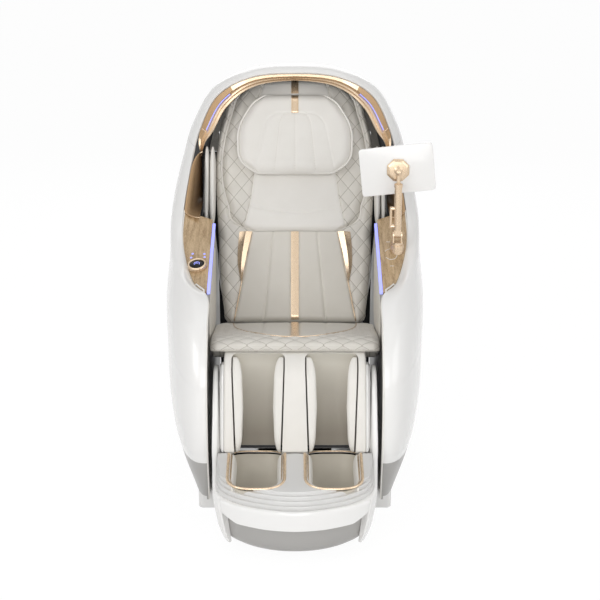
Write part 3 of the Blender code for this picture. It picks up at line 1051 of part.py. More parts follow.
def build_foot(body, shaft_body):
    """The foot unit: white housing with wings, deck with two wells, rims, base with guide rods, sole rollers."""
    ts = [-t for t in reversed(FOOT_TURNS)] + list(FOOT_TURNS[1:])
    outer, inner = [], []
    for t in ts:
        y = foot_plan(t)[1]
        xi, yi = foot_plan(t, -FOOT_WALL)
        top = wing_top(y)
        bottom = float(np.interp(y, [-0.69, -0.60, -0.45, -0.30, -0.27], [0.102, 0.098, 0.060, 0.060, 0.110]))
        tuck = 0.008 if y < -0.5 else 0.0
        column, under = [], []
        for share in (0, 0.06, 0.35, 0.7, 0.94, 1.0):
            z = bottom + (top - bottom) * share
            draw = (tuck + 0.002) * (1 - math.sin(math.pi * min(max(share, 0.06), 0.94)))
            column.append(Vector((*foot_plan(t, -draw), z)))
            under.append(Vector((xi, yi, z)))
        outer.append(column)
        inner.append(under)
    node("foot_shell", slab(outer, inner), "gloss_white", body)

    fit = 0.0006

    def deck_height(y):
        return float(np.interp(y, [-0.70, -0.66, -0.446, -0.4446, -0.33], [0.203, 0.208, 0.2435, 0.2325, 0.1965]))

    rings = []
    stations = [foot_plan(t, -FOOT_WALL)[1] + fit for t in FOOT_TURNS]
    stations = [y for y in stations if y < -0.45] + [-0.4455, -0.4445, -0.39, DECK_REAR]
    for y in stations:
        half, top = max(plan_half(y - fit, -FOOT_WALL) - fit, 0.002), deck_height(y)
        ring = [(-half, DECK_BOTTOM), (half, DECK_BOTTOM), (half, top - 0.006), (half * 0.985, top)]
        ring += [(-half * 0.985, top), (-half, top - 0.006)]
        rings.append([Vector((x, y, z)) for x, z in ring])
    cutters = []
    for side in (-1, 1):
        half_y = (WELL_REAR - WELL_FRONT) / 2
        middle = (side * WELL_X, (WELL_REAR + WELL_FRONT) / 2)
        cutters.append(prism(rounded(WELL_HALF, half_y, 0.055, 5, middle), WELL_FLOOR, 0.30, across="z"))
    bore = rod((-0.205, SOLE_SHAFT_Y, SOLE_SHAFT_Z), (0.205, SOLE_SHAFT_Y, SOLE_SHAFT_Z), SOLE_SHAFT * PIN_ALLOWANCE)
    cutters.append(bore)
    node("foot_deck", loft(rings), "light_grey", body, cut=cutters)

    rings = []
    for z, grow in ((BASE_BOTTOM, -0.055), (0.042, -0.030), (0.060, -0.0195), (DECK_BOTTOM - SEAT_GAP, -FOOT_WALL - fit)):
        inner_ts = [t for t in ts if foot_plan(t)[1] < -0.34]
        ring = [Vector((*foot_plan(t, grow), z)) for t in inner_ts]
        half = abs(ring[0].x)
        rings.append([Vector((-half, DECK_REAR, z)), *ring, Vector((half, DECK_REAR, z))])
    rods = []
    for side in (-1, 1):
        start, end = LEG.at(side * GUIDE_X, GUIDE_Y, -0.300), LEG.at(side * GUIDE_X, GUIDE_Y, -0.020)
        rods.append(rod(start, end, GUIDE_RADIUS, 12))
        foot = LEG.at(side * GUIDE_X, GUIDE_Y, -0.300)
        low, high, rear = side * GUIDE_X - 0.012, side * GUIDE_X + 0.012, foot.y + 0.012
        rods.append(block((low, DECK_REAR - 0.01, 0.062), (high, rear, DECK_BOTTOM - 0.001)))
        rods.append(block((low + 0.0005, DECK_REAR + 0.002, 0.090), (high - 0.0005, rear - 0.0005, foot.z + 0.012)))
    node("foot_base", loft(rings), "soft_grey", body, joined=rods)

    for side, word in ((-1, "left"), (1, "right")):
        corner = 0.055
        path = [(side * (WELL_X - WELL_HALF - 0.003), -0.4475)]
        half = WELL_HALF + 0.003
        centre = (0.0, WELL_FRONT + corner)
        for k in range(11):
            angle = math.pi + math.pi * k / 10
            c, s = math.cos(angle), math.sin(angle)
            x = math.copysign(abs(c) ** 0.7, c) * half
            y = centre[1] + math.copysign(abs(s) ** 0.8, s) * (corner + 0.003)
            path.append((side * (WELL_X + x), y))
        path.append((side * (WELL_X + WELL_HALF + 0.003), -0.4475))
        rings = []
        for k, (x, y) in enumerate(path):
            before, after = path[max(k - 1, 0)], path[min(k + 1, len(path) - 1)]
            way = Vector((after[0] - before[0], after[1] - before[1], 0)).normalized()
            out = Vector((way.y, -way.x, 0)) * side
            base = Vector((x, y, deck_height(y) + 0.0008))
            rings.append([base - out * 0.0005, base + out * 0.007, base + out * 0.006 + Vector((0, 0, 0.004)),
                          base + Vector((0, 0, 0.005))])
        node(f"foot_rim_{word}", loft(rings), "champagne", body)

    shaft = rod((-0.195, SOLE_SHAFT_Y, SOLE_SHAFT_Z), (0.195, SOLE_SHAFT_Y, SOLE_SHAFT_Z), SOLE_SHAFT)
    rollers = []
    for x in (-0.145, -0.11, -0.075, 0.075, 0.11, 0.145):
        profile = [(0, -0.013), (0.012, -0.013), (SOLE_ROLLER, -0.005), (SOLE_ROLLER, 0.005), (0.012, 0.013), (0, 0.013)]
        rollers.append(turned(profile, (x, SOLE_SHAFT_Y, SOLE_SHAFT_Z), (1, 0, 0), 12))
    node("sole_roller_shaft", shaft, "soft_grey", shaft_body, joined=rollers)


def build_moving():
    """Everything that moves with the seat, in order from the seat outwards."""
    seat = axis_empty("seat_axis", (0, BACK_PIVOT[0], RAIL_BOTTOM))
    back = axis_empty("back_axis", BACK.at(0, 0, 0), seat)
    leg = axis_empty("leg_axis", LEG.at(0, 0, 0), seat)
    foot = axis_empty("foot_axis", LEG.at(0, GUIDE_Y, CALF_BOTTOM), leg)
    back_rod = axis_empty("back_rod_axis", (0.060, 0.150, BACK_ROD_Z), seat)
    leg_rod = axis_empty("leg_rod_axis", (-0.060, -0.115, LEG_ROD_Z), seat)
    build_seat(seat)
    build_actuators(seat, back_rod, leg_rod)
    build_back(back)
    build_pillow(axis_empty("pillow_axis", BACK.at(0, PAD_FRONT - 0.0163, 0.770), back))
    carriage = axis_empty("carriage_axis", BACK.at(0, 0, CARRIAGE_S), back)
    arms, rollers = {}, {}
    for side, word in ((-1, "left"), (1, "right")):
        arms[word] = axis_empty(f"massage_arm_{word}_axis", BACK.at(side * ARM_X, 0, CARRIAGE_S), carriage)
        for way, level in ((-1, "lower"), (1, "upper")):
            point = BACK.at(side * ARM_X, ROLLER_Y, CARRIAGE_S + way * ROLLER_REACH)
            rollers[level, word] = axis_empty(f"roller_{level}_{word}_axis", point, arms[word])
    build_massage(carriage, arms, rollers)
    build_calf(leg)
    shaft = axis_empty("sole_roller_axis", (0, SOLE_SHAFT_Y, SOLE_SHAFT_Z), foot)
    build_foot(foot, shaft)


def main():
    clear_scene()
    build_base()
    build_shell()
    build_arms()
    build_hood()
    build_knob()
    build_tablet_arm()
    build_moving()


if __name__ == "__main__":
    main()
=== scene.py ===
"""The looks of a cocoon-type massage chair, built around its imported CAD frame."""

import json
import logging
import math
from dataclasses import dataclass, field
from enum import Enum
from typing import Callable, Mapping, Sequence

import bpy
import numpy as np
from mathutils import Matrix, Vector

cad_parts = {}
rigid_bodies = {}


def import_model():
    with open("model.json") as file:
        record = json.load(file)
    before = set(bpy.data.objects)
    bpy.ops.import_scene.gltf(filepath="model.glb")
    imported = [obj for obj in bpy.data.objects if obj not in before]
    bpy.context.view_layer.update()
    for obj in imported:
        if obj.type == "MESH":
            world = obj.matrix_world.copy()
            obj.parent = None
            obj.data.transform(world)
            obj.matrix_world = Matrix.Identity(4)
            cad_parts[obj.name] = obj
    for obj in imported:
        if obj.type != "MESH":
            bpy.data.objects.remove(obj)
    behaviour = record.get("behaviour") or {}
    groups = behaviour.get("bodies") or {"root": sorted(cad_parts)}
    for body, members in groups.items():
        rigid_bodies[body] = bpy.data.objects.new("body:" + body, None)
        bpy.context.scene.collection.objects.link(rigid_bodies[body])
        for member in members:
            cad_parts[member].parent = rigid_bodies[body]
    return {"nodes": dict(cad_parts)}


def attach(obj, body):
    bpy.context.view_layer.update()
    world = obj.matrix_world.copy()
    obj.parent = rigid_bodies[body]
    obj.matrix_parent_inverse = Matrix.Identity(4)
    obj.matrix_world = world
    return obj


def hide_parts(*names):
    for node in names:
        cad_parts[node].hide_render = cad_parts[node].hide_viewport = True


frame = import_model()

logging.basicConfig(level=logging.INFO, format="%(message)s")
log = logging.getLogger("chair")

Point = tuple[float, float, float]
Tree = bpy.types.NodeTree
Node = bpy.types.Node
Socket = bpy.types.NodeSocket
Sockets = Mapping[str, Socket]
Piece = bpy.types.Object

# The cocoon's ribs from the floor to the crown: x, y, z of each end, and of the handle that shapes the rib there.
SHELL_ROWS = np.array(
    [
        # rim                     leaving                rear edge              arriving
        [0.256, -0.372, 0.052, 0.075, -0.020, 0.000, 0.275, 0.350, 0.052, 0.040, -0.200, 0.000],
        [0.256, -0.415, 0.190, 0.140, -0.030, 0.000, 0.312, 0.500, 0.190, 0.078, -0.280, 0.000],
        [0.256, -0.425, 0.325, 0.170, -0.035, 0.000, 0.328, 0.600, 0.325, 0.095, -0.330, 0.000],
        [0.256, -0.398, 0.470, 0.175, -0.030, 0.020, 0.330, 0.655, 0.460, 0.105, -0.360, 0.000],
        [0.256, -0.320, 0.583, 0.180, -0.030, 0.030, 0.330, 0.680, 0.575, 0.107, -0.380, 0.000],
        [0.260, -0.215, 0.640, 0.160, -0.040, 0.050, 0.330, 0.690, 0.655, 0.107, -0.380, 0.005],
        [0.311, -0.122, 0.662, 0.105, -0.010, 0.040, 0.326, 0.695, 0.715, 0.103, -0.370, 0.010],
        [0.350, 0.050, 0.727, 0.068, 0.030, 0.030, 0.320, 0.700, 0.785, 0.097, -0.330, 0.010],
        [0.354, 0.180, 0.803, 0.060, 0.055, 0.022, 0.310, 0.700, 0.860, 0.087, -0.280, 0.015],
        [0.338, 0.300, 0.914, 0.055, 0.060, 0.020, 0.293, 0.690, 0.940, 0.070, -0.200, 0.020],
        [0.316, 0.375, 1.014, 0.045, 0.055, 0.028, 0.273, 0.680, 1.012, 0.052, -0.140, 0.030],
        [0.257, 0.418, 1.127, 0.032, 0.052, 0.038, 0.217, 0.662, 1.096, 0.030, -0.105, 0.040],
        [0.144, 0.426, 1.188, 0.011, 0.050, 0.045, 0.121, 0.650, 1.144, 0.010, -0.092, 0.045],
        [0.000, 0.427, 1.201, 0.000, 0.050, 0.045, 0.000, 0.645, 1.158, 0.000, -0.090, 0.045],
    ]
)
CROWN = 13.0
WALL = 0.008
# Half the width of the ribbed strip down the backrest and the seat, and of the seam beside it.
STRIP = 0.0125
STRIP_SEAM = 0.0135
# The rows between which the rim is an arm's outer edge.
ARM_ROWS = (5.3, 8.0)
# The middle of the cocoon, which its outer face looks away from.
CORE = (0.0, 0.2, 0.55)


class Side(Enum):
    """The sitter's two sides; the value is the sign of x."""

    LEFT = -1
    RIGHT = 1

    @property
    def word(self) -> str:
        """The side's name as it ends the frame's node names."""
        return self.name.lower()


class Pattern(Enum):
    """What a finish's nodes draw on it."""

    MOULDED = "moulded"
    LINING = "lining"
    LEATHER = "leather"
    QUILTED = "quilted leather"
    BRUSHED = "brushed"
    OAK = "oak"
    LAMP = "lamp"
    FLOOR = "floor"


def linear(code: str) -> tuple[float, float, float, float]:
    """An sRGB hex colour as the linear values that Blender takes.

    Args:
        code: six hex digits, with or without a hash.

    Returns:
        Red, green, blue and alpha.
    """
    parts = [int(code.lstrip("#")[k : k + 2], 16) / 255 for k in (0, 2, 4)]
    made = [p / 12.92 if p <= 0.04045 else ((p + 0.055) / 1.055) ** 2.4 for p in parts]
    return made[0], made[1], made[2], 1.0


def add_node(tree: Tree, kind: str, inputs: dict | None = None, **settings: object) -> Node:
    """Adds a shader node, sets it and joins it up.

    Args:
        tree: the material's or world's tree.
        kind: the node's type.
        inputs: socket name or number to a value or to another node's output.
        settings: the node's own attributes.

    Returns:
        The new node.
    """
    made = tree.nodes.new(kind)
    for key, value in settings.items():
        setattr(made, key, value)
    for socket, value in (inputs or {}).items():
        if isinstance(value, Socket):
            tree.links.new(value, made.inputs[socket])
        else:
            made.inputs[socket].default_value = value
    return made


def unlit_ray(tree: Tree) -> Socket:
    """1 on rays from the camera, off a mirror or through glass, which see the surround white.

    Args:
        tree: the material's nodes.

    Returns:
        The share, 0 or 1.
    """
    path = add_node(tree, "ShaderNodeLightPath")
    seen = path.outputs["Is Camera Ray"]
    for kind in ("Is Glossy Ray", "Is Transmission Ray"):
        seen = add_node(tree, "ShaderNodeMath", {0: seen, 1: path.outputs[kind]}, operation="MAXIMUM").outputs[0]
    return seen


@dataclass(frozen=True)
class Finish:
    """One real material: what it is, and how its shader is made.

    Attributes:
        title: the material's real name.
        colour: base colour as an sRGB hex.
        deep: the colour of its pores, grain or stitches; on the shaded lining, the painted shade at its foot.
        roughness: how soft its gloss is.
        metallic: 1 for plated and bare metal.
        coat: the weight of a clear lacquer.
        ior: refractive index.
        sheen: the weight of a fabric's edge glow.
        pattern: what its nodes draw.
        grain: the size of the finest pattern in millimetres.
        relief: how high the pattern stands, in millimetres.
        stitch: width and height of a quilt's diamond, in metres.
    """

    title: str
    colour: str
    deep: str
    roughness: float
    metallic: float = 0.0
    coat: float = 0.0
    ior: float = 1.5
    sheen: float = 0.0
    pattern: Pattern = Pattern.MOULDED
    grain: float = 1.0
    relief: float = 0.02
    stitch: tuple[float, float] = (0.050, 0.060)

    def material(self) -> bpy.types.Material:
        """The finish as a material, made once.

        Returns:
            The material.
        """
        found = bpy.data.materials.get(self.title)
        if found:
            return found
        made = bpy.data.materials.new(self.title)
        made.use_nodes = True
        tree = made.node_tree
        shader = next(node for node in tree.nodes if node.type == "BSDF_PRINCIPLED")
        shader.inputs["Metallic"].default_value = self.metallic
        shader.inputs["IOR"].default_value = self.ior
        shader.inputs["Coat Weight"].default_value = self.coat
        shader.inputs["Coat Roughness"].default_value = 0.06
        shader.inputs["Sheen Weight"].default_value = self.sheen
        shader.inputs["Sheen Roughness"].default_value = 0.4
        coordinates = add_node(tree, "ShaderNodeTexCoord")
        draw = {
            Pattern.MOULDED: self._moulded,
            Pattern.LEATHER: self._leather,
            Pattern.LINING: self._lining,
            Pattern.QUILTED: self._quilted,
            Pattern.BRUSHED: self._brushed,
            Pattern.OAK: self._oak,
            Pattern.LAMP: self._lamp,
            Pattern.FLOOR: self._floor,
        }[self.pattern]
        draw(tree, shader, coordinates.outputs)
        return made

    def _shade(self, tree: Tree, shader: Node, factor: Socket, height: Socket) -> None:
        """Joins a colour factor and a height to the shader, and lets the roughness follow the height a little.

        Args:
            tree: the material's nodes.
            shader: the surface's shader.
            factor: share of the deeper colour.
            height: height of the pattern.
        """
        ends = {0: factor, 6: linear(self.colour), 7: linear(self.deep)}
        mix = add_node(tree, "ShaderNodeMix", ends, data_type="RGBA")
        tree.links.new(mix.outputs[2], shader.inputs["Base Color"])
        ends = {0: height, 3: self.roughness * 0.9, 4: min(self.roughness * 1.15, 1.0)}
        spread = add_node(tree, "ShaderNodeMapRange", ends)
        tree.links.new(spread.outputs[0], shader.inputs["Roughness"])
        bump = add_node(tree, "ShaderNodeBump", {"Height": height, "Distance": self.relief / 1000, "Strength": 0.6})
        tree.links.new(bump.outputs[0], shader.inputs["Normal"])

    def _noise(self, tree: Tree, vector: Socket, millimetres: float, detail: float = 2.0) -> Socket:
        """Noise whose bumps are about so many millimetres across."""
        scale = 1000 / millimetres
        return add_node(tree, "ShaderNodeTexNoise", {"Vector": vector, "Scale": scale, "Detail": detail}).outputs[0]

    def _fade(self, tree: Tree, value: Socket, low: float, high: float, top: float) -> Socket:
        """value from low..high spread over 0..top."""
        return add_node(tree, "ShaderNodeMapRange", {0: value, 1: low, 2: high, 4: top}).outputs[0]

    def _moulded(self, tree: Tree, shader: Node, outputs: Sockets) -> None:
        """Moulded or lacquered plastic: a fine texture, and a slow drift in tone over a hand's width."""
        slow = self._fade(tree, self._noise(tree, outputs["Object"], 140.0), 0.35, 0.7, 0.10)
        self._shade(tree, shader, slow, self._noise(tree, outputs["Object"], self.grain))

    def _pebble(self, tree: Tree, outputs: Sockets) -> Socket:
        """The pebble grain of leather: cells broken up by noise.

        Args:
            tree: the material's nodes.
            outputs: the texture coordinates.

        Returns:
            The height of the grain.
        """
        cells = add_node(tree, "ShaderNodeTexVoronoi", {"Vector": outputs["Object"], "Scale": 1000 / self.grain})
        noise = self._noise(tree, outputs["Object"], self.grain * 2.4, 3.0)
        both = add_node(tree, "ShaderNodeMath", {0: cells.outputs["Distance"], 1: noise}, operation="MULTIPLY")
        return both.outputs[0]

    def _leather(self, tree: Tree, shader: Node, outputs: Sockets) -> None:
        """Coated leather: pebble grain, and paler worn patches a palm wide."""
        slow = self._fade(tree, self._noise(tree, outputs["Object"], 60.0, 3.0), 0.35, 0.75, 0.22)
        self._shade(tree, shader, slow, self._pebble(tree, outputs))

    def _lining(self, tree: Tree, shader: Node, outputs: Sockets) -> None:
        """The leather of a well's bottom, pale at its top and darker towards its foot: painted shade.

        Args:
            tree: the material's nodes.
            shader: the surface's shader.
            outputs: the texture coordinates.
        """
        height = add_node(tree, "ShaderNodeSeparateXYZ", {0: outputs["Object"]}).outputs["Z"]
        # Painted shade: the colour darkens from the well's top down towards its foot.
        low = add_node(tree, "ShaderNodeMapRange", {0: height, 1: 0.24, 2: 0.45, 3: 1.0, 4: 0.0}).outputs[0]
        self._shade(tree, shader, low, self._pebble(tree, outputs))

    def _quilted(self, tree: Tree, shader: Node, outputs: Sockets) -> None:
        """Leather with a diamond of stitches sewn over it, each stitch line a dark thread in a pulled-in groove.

        Args:
            tree: the material's nodes.
            shader: the surface's shader.
            outputs: the texture coordinates.
        """
        nearest = []
        for way in (1, -1):
            vector = (1 / self.stitch[0], way / self.stitch[1], 0)
            dot = add_node(tree, "ShaderNodeVectorMath", {0: outputs["UV"], 1: vector}, operation="DOT_PRODUCT")
            saw = add_node(tree, "ShaderNodeMath", {0: dot.outputs["Value"], 1: 0.5}, operation="PINGPONG")
            nearest.append(saw.outputs[0])
        line = add_node(tree, "ShaderNodeMath", {0: nearest[0], 1: nearest[1]}, operation="MINIMUM").outputs[0]
        thread = add_node(tree, "ShaderNodeMapRange", {0: line, 1: 0.010, 2: 0.030, 3: 1.0, 4: 0.0}).outputs[0]
        slow = self._fade(tree, self._noise(tree, outputs["Object"], 60.0, 3.0), 0.35, 0.75, 0.16)
        dark = add_node(tree, "ShaderNodeMath", {0: thread, 1: slow}, operation="MAXIMUM").outputs[0]
        pebble = self._pebble(tree, outputs)
        level = add_node(tree, "ShaderNodeMath", {0: pebble, 1: thread}, operation="SUBTRACT").outputs[0]
        self._shade(tree, shader, dark, level)

    def _brushed(self, tree: Tree, shader: Node, outputs: Sockets) -> None:
        """Plated metal: a hairline finish drawn along the piece.

        Args:
            tree: the material's nodes.
            shader: the surface's shader.
            outputs: the texture coordinates.
        """
        map_ = add_node(tree, "ShaderNodeMapping", {0: outputs["Object"], "Scale": (1.0, 0.06, 0.06)})
        hair = self._noise(tree, map_.outputs[0], self.grain)
        self._shade(tree, shader, self._fade(tree, hair, 0.3, 0.7, 0.35), hair)

    def _oak(self, tree: Tree, shader: Node, outputs: Sockets) -> None:
        """Oak veneer: long grain along the arm, darker pores in it, and slow bands of colour.

        Args:
            tree: the material's nodes.
            shader: the surface's shader.
            outputs: the texture coordinates.
        """
        along = add_node(tree, "ShaderNodeMapping", {0: outputs["Object"], "Scale": (1.0, 0.07, 0.25)}).outputs[0]
        bands = self._noise(tree, along, 9.0, 4.0)
        pores = self._noise(tree, along, 1.1, 3.0)
        both = add_node(tree, "ShaderNodeMath", {0: bands, 1: pores}, operation="MULTIPLY").outputs[0]
        self._shade(tree, shader, self._fade(tree, both, 0.16, 0.36, 1.0), pores)

    def _lamp(self, tree: Tree, shader: Node, outputs: Sockets) -> None:
        """A diffuser lit from behind, its tone drifting a little.

        Args:
            tree: the material's nodes.
            shader: the surface's shader.
            outputs: the texture coordinates.
        """
        self._shade(tree, shader, self._noise(tree, outputs["Object"], 30.0), self._noise(tree, outputs["Object"], 1.0))
        shader.inputs["Emission Color"].default_value = linear(self.colour)
        shader.inputs["Emission Strength"].default_value = 0.75

    def _floor(self, tree: Tree, shader: Node, outputs: Sockets) -> None:
        """A pale studio floor that the camera sees white, with the object's shadow kept.

        Args:
            tree: the material's nodes.
            shader: the surface's shader.
            outputs: the texture coordinates.
        """
        self._moulded(tree, shader, outputs)
        share = add_node(tree, "ShaderNodeMath", {0: unlit_ray(tree), 1: 0.9}, operation="MULTIPLY")
        glow = add_node(tree, "ShaderNodeEmission", {"Color": (1, 1, 1, 1), "Strength": 1.05})
        mix = add_node(tree, "ShaderNodeMixShader", {0: share.outputs[0], 1: shader.outputs[0], 2: glow.outputs[0]})
        end = next(node for node in tree.nodes if node.type == "OUTPUT_MATERIAL")
        tree.links.new(mix.outputs[0], end.inputs[0])


# Sprayed and polished: an even pale face with a sharp, weak gloss over it.
WHITE = Finish("Lacquered ABS, white", "F1F0EE", "E8E7E5", 0.22, coat=0.5, grain=2.5, relief=0.01)
# Moulded with a fine grain: grey with a soft gloss.
SKIRT = Finish("Moulded ABS, warm grey", "A9A7A4", "9C9A97", 0.35, coat=0.2, grain=1.2, relief=0.02)
PALE_GREY = Finish("Moulded ABS, pale grey", "D9D8D6", "CFCECC", 0.32, coat=0.2, grain=1.2, relief=0.02)
# Moulded and left as it comes: duller than the outer shells.
INNER_GREY = Finish("Moulded ABS, inner grey", "B4B2AE", "A5A39F", 0.45, grain=0.9, relief=0.03)
# Embossed and coated: a dull face broken up by pebbles of about a millimetre.
HIDE = {"sheen": 0.08, "grain": 1.1}
CREAM = Finish("Polyurethane leather, cream", "EAE7E1", "DCD8D0", 0.48, pattern=Pattern.LEATHER, relief=0.06, **HIDE)
GREIGE = Finish("Polyurethane leather, greige", "D9D5CC", "C9C4B9", 0.50, pattern=Pattern.LEATHER, relief=0.07, **HIDE)
# The same leather sewn in diamonds: thin dark threads, each in a groove.
SEWN = {"colour": "DDD9D1", "deep": "A49E92", "roughness": 0.50, "pattern": Pattern.QUILTED, "relief": 0.25, **HIDE}
QUILT = Finish("Quilted polyurethane leather, greige", **SEWN)
BORDER_QUILT = Finish("Quilted polyurethane leather, seat border", stitch=(0.056, 0.036), **SEWN)
# Leather inside the wells, painted a shade darker as painted shade, since they lie out of the light; in the calf wells
# the painted shade grows darker still towards the foot.
WORN = {"roughness": 0.55, "sheen": 0.1, "relief": 0.07}
TAUPE = Finish("Polyurethane leather, shaded greige", "CFC9BC", "B9B2A5", pattern=Pattern.LEATHER, **WORN)
LINING = Finish("Polyurethane leather, graded greige", "DCD8CE", "9C9487", pattern=Pattern.LINING, **WORN)
# Brushed, then plated: a warm mirror blurred along the piece. The second finish is the same plating painted duller and
# browner: painted shade.
CHAMPAGNE = Finish(
    "Champagne plated zinc", "DCC6AB", "C4AA8B", 0.27, metallic=0.8, pattern=Pattern.BRUSHED, grain=0.8, relief=0.006
)
CHAMPAGNE_PAINTED_SHADE = Finish(
    "Champagne plating, satin shade", "B0916D", "8A6D4D", 0.36, metallic=0.45, pattern=Pattern.BRUSHED, relief=0.006
)
# Sliced veneer under satin lacquer: long grain with open pores.
OAK = Finish("Oak veneer, satin lacquer", "CBB08A", "9B7D56", 0.42, coat=0.25, pattern=Pattern.OAK, relief=0.05)
# Frosted from behind: an even glow with no hot spot.
LAMP = Finish("Frosted diffuser, violet light", "A4AAFF", "9096F5", 0.5, pattern=Pattern.LAMP)
# Float glass with black print behind it: dark, with a sharp reflection.
BLACK = Finish("Black glass", "08080A", "040405", 0.16, ior=1.3, grain=8.0, relief=0.002)
# Moulded with a rough grain: black that hardly shines.
DARK = Finish("Moulded nylon, black", "17171A", "0F0F11", 0.55, grain=0.8, relief=0.04)
RUBBER = Finish("Tyre rubber", "1B1B1B", "121212", 0.85, grain=0.6, relief=0.06)
# Baked powder: a dark coat with a slight orange peel.
STEEL = Finish("Powder-coated steel, graphite", "3B3C3F", "303134", 0.45, metallic=0.3, grain=0.5, relief=0.03)
# Ground along its length: a fine directional shine.
BRIGHT_STEEL = Finish(
    "Ground steel", "B9BABD", "9FA0A3", 0.28, metallic=1.0, pattern=Pattern.BRUSHED, grain=0.4, relief=0.004
)
# Cast: a dull, even grey.
ROLLER = Finish("Moulded polyurethane, grey", "8E8C88", "807E7A", 0.6, grain=0.8, relief=0.05)
FLOOR = Finish("Studio floor, white", "F2F2F2", "EEEEEE", 0.9, pattern=Pattern.FLOOR, grain=4.0, relief=0.0)


@dataclass(frozen=True)
class Lean:
    """A leaning frame: x across, s up along the piece, y to its rear, as the part's own frames are.

    Attributes:
        y: how far to the rear its foot stands.
        z: how high its foot stands.
        tilt: how far it leans to the rear, in degrees.
    """

    y: float
    z: float
    tilt: float

    def at(self, x: float, y: float, s: float) -> np.ndarray:
        """The world point of a point in the frame."""
        c, k = math.cos(math.radians(self.tilt)), math.sin(math.radians(self.tilt))
        return np.array([x, self.y + y * c + s * k, self.z - y * k + s * c])


BACK = Lean(0.235, 0.385, 27.5)
LEG = Lean(-0.295, 0.415, 17.6)


def curve(table: Sequence[tuple[float, float]]) -> Callable[[float], float]:
    """A smooth line through the rows of a table, flat-ended, with no overshoot worth seeing.

    Args:
        table: rows of x and height.

    Returns:
        Height at a place along the line.
    """
    xs, ys = np.array([row[0] for row in table]), np.array([row[1] for row in table])
    slopes = np.gradient(ys, xs)

    def value(x: float) -> float:
        """The line's height at x.

        Args:
            x: where along the line.

        Returns:
            The height.
        """
        if x <= xs[0]:
            return float(ys[0])
        if x >= xs[-1]:
            return float(ys[-1])
        k = int(np.searchsorted(xs, x)) - 1
        run = xs[k + 1] - xs[k]
        t = (x - xs[k]) / run
        a, b = ys[k], ys[k + 1]
        m, n = slopes[k] * run, slopes[k + 1] * run
        ends = (2 * t**3 - 3 * t**2 + 1) * a + (t**3 - 2 * t**2 + t) * m
        return float(ends + (3 * t**2 - 2 * t**3) * b + (t**3 - t**2) * n)

    return value


def roll(distance: float, radius: float) -> float:
    """0 at a cushion's border, rising to 1 as a quarter round over a radius."""
    near = min(max(distance, 0.0) / radius, 1.0)
    return math.sqrt(1 - (1 - near) ** 2)


def dense(low: float, high: float, count: int, ends: float = 0.6) -> np.ndarray:
    """Stations from low to high, closer together at both ends.

    Args:
        low: where it starts.
        high: where it ends.
        count: how many stations.
        ends: how much closer, from 0 to 1.

    Returns:
        The stations.
    """
    even = np.linspace(0, 1, count)
    bunched = 0.5 - 0.5 * np.cos(np.pi * even)
    return low + (high - low) * (even * (1 - ends) + bunched * ends)


def groove(distance: float, width: float = 0.004) -> float:
    """1 on a seam, falling to 0 beside it."""
    return math.exp(-((distance / width) ** 2))


def quilt_puff(x: float, s: float, stitch: tuple[float, float] = (0.050, 0.060)) -> float:
    """0 on a diamond's stitches and 1 in its middle."""
    a, b = x / stitch[0] + s / stitch[1], x / stitch[0] - s / stitch[1]
    return (abs(math.sin(math.pi * a)) * abs(math.sin(math.pi * b))) ** 0.55


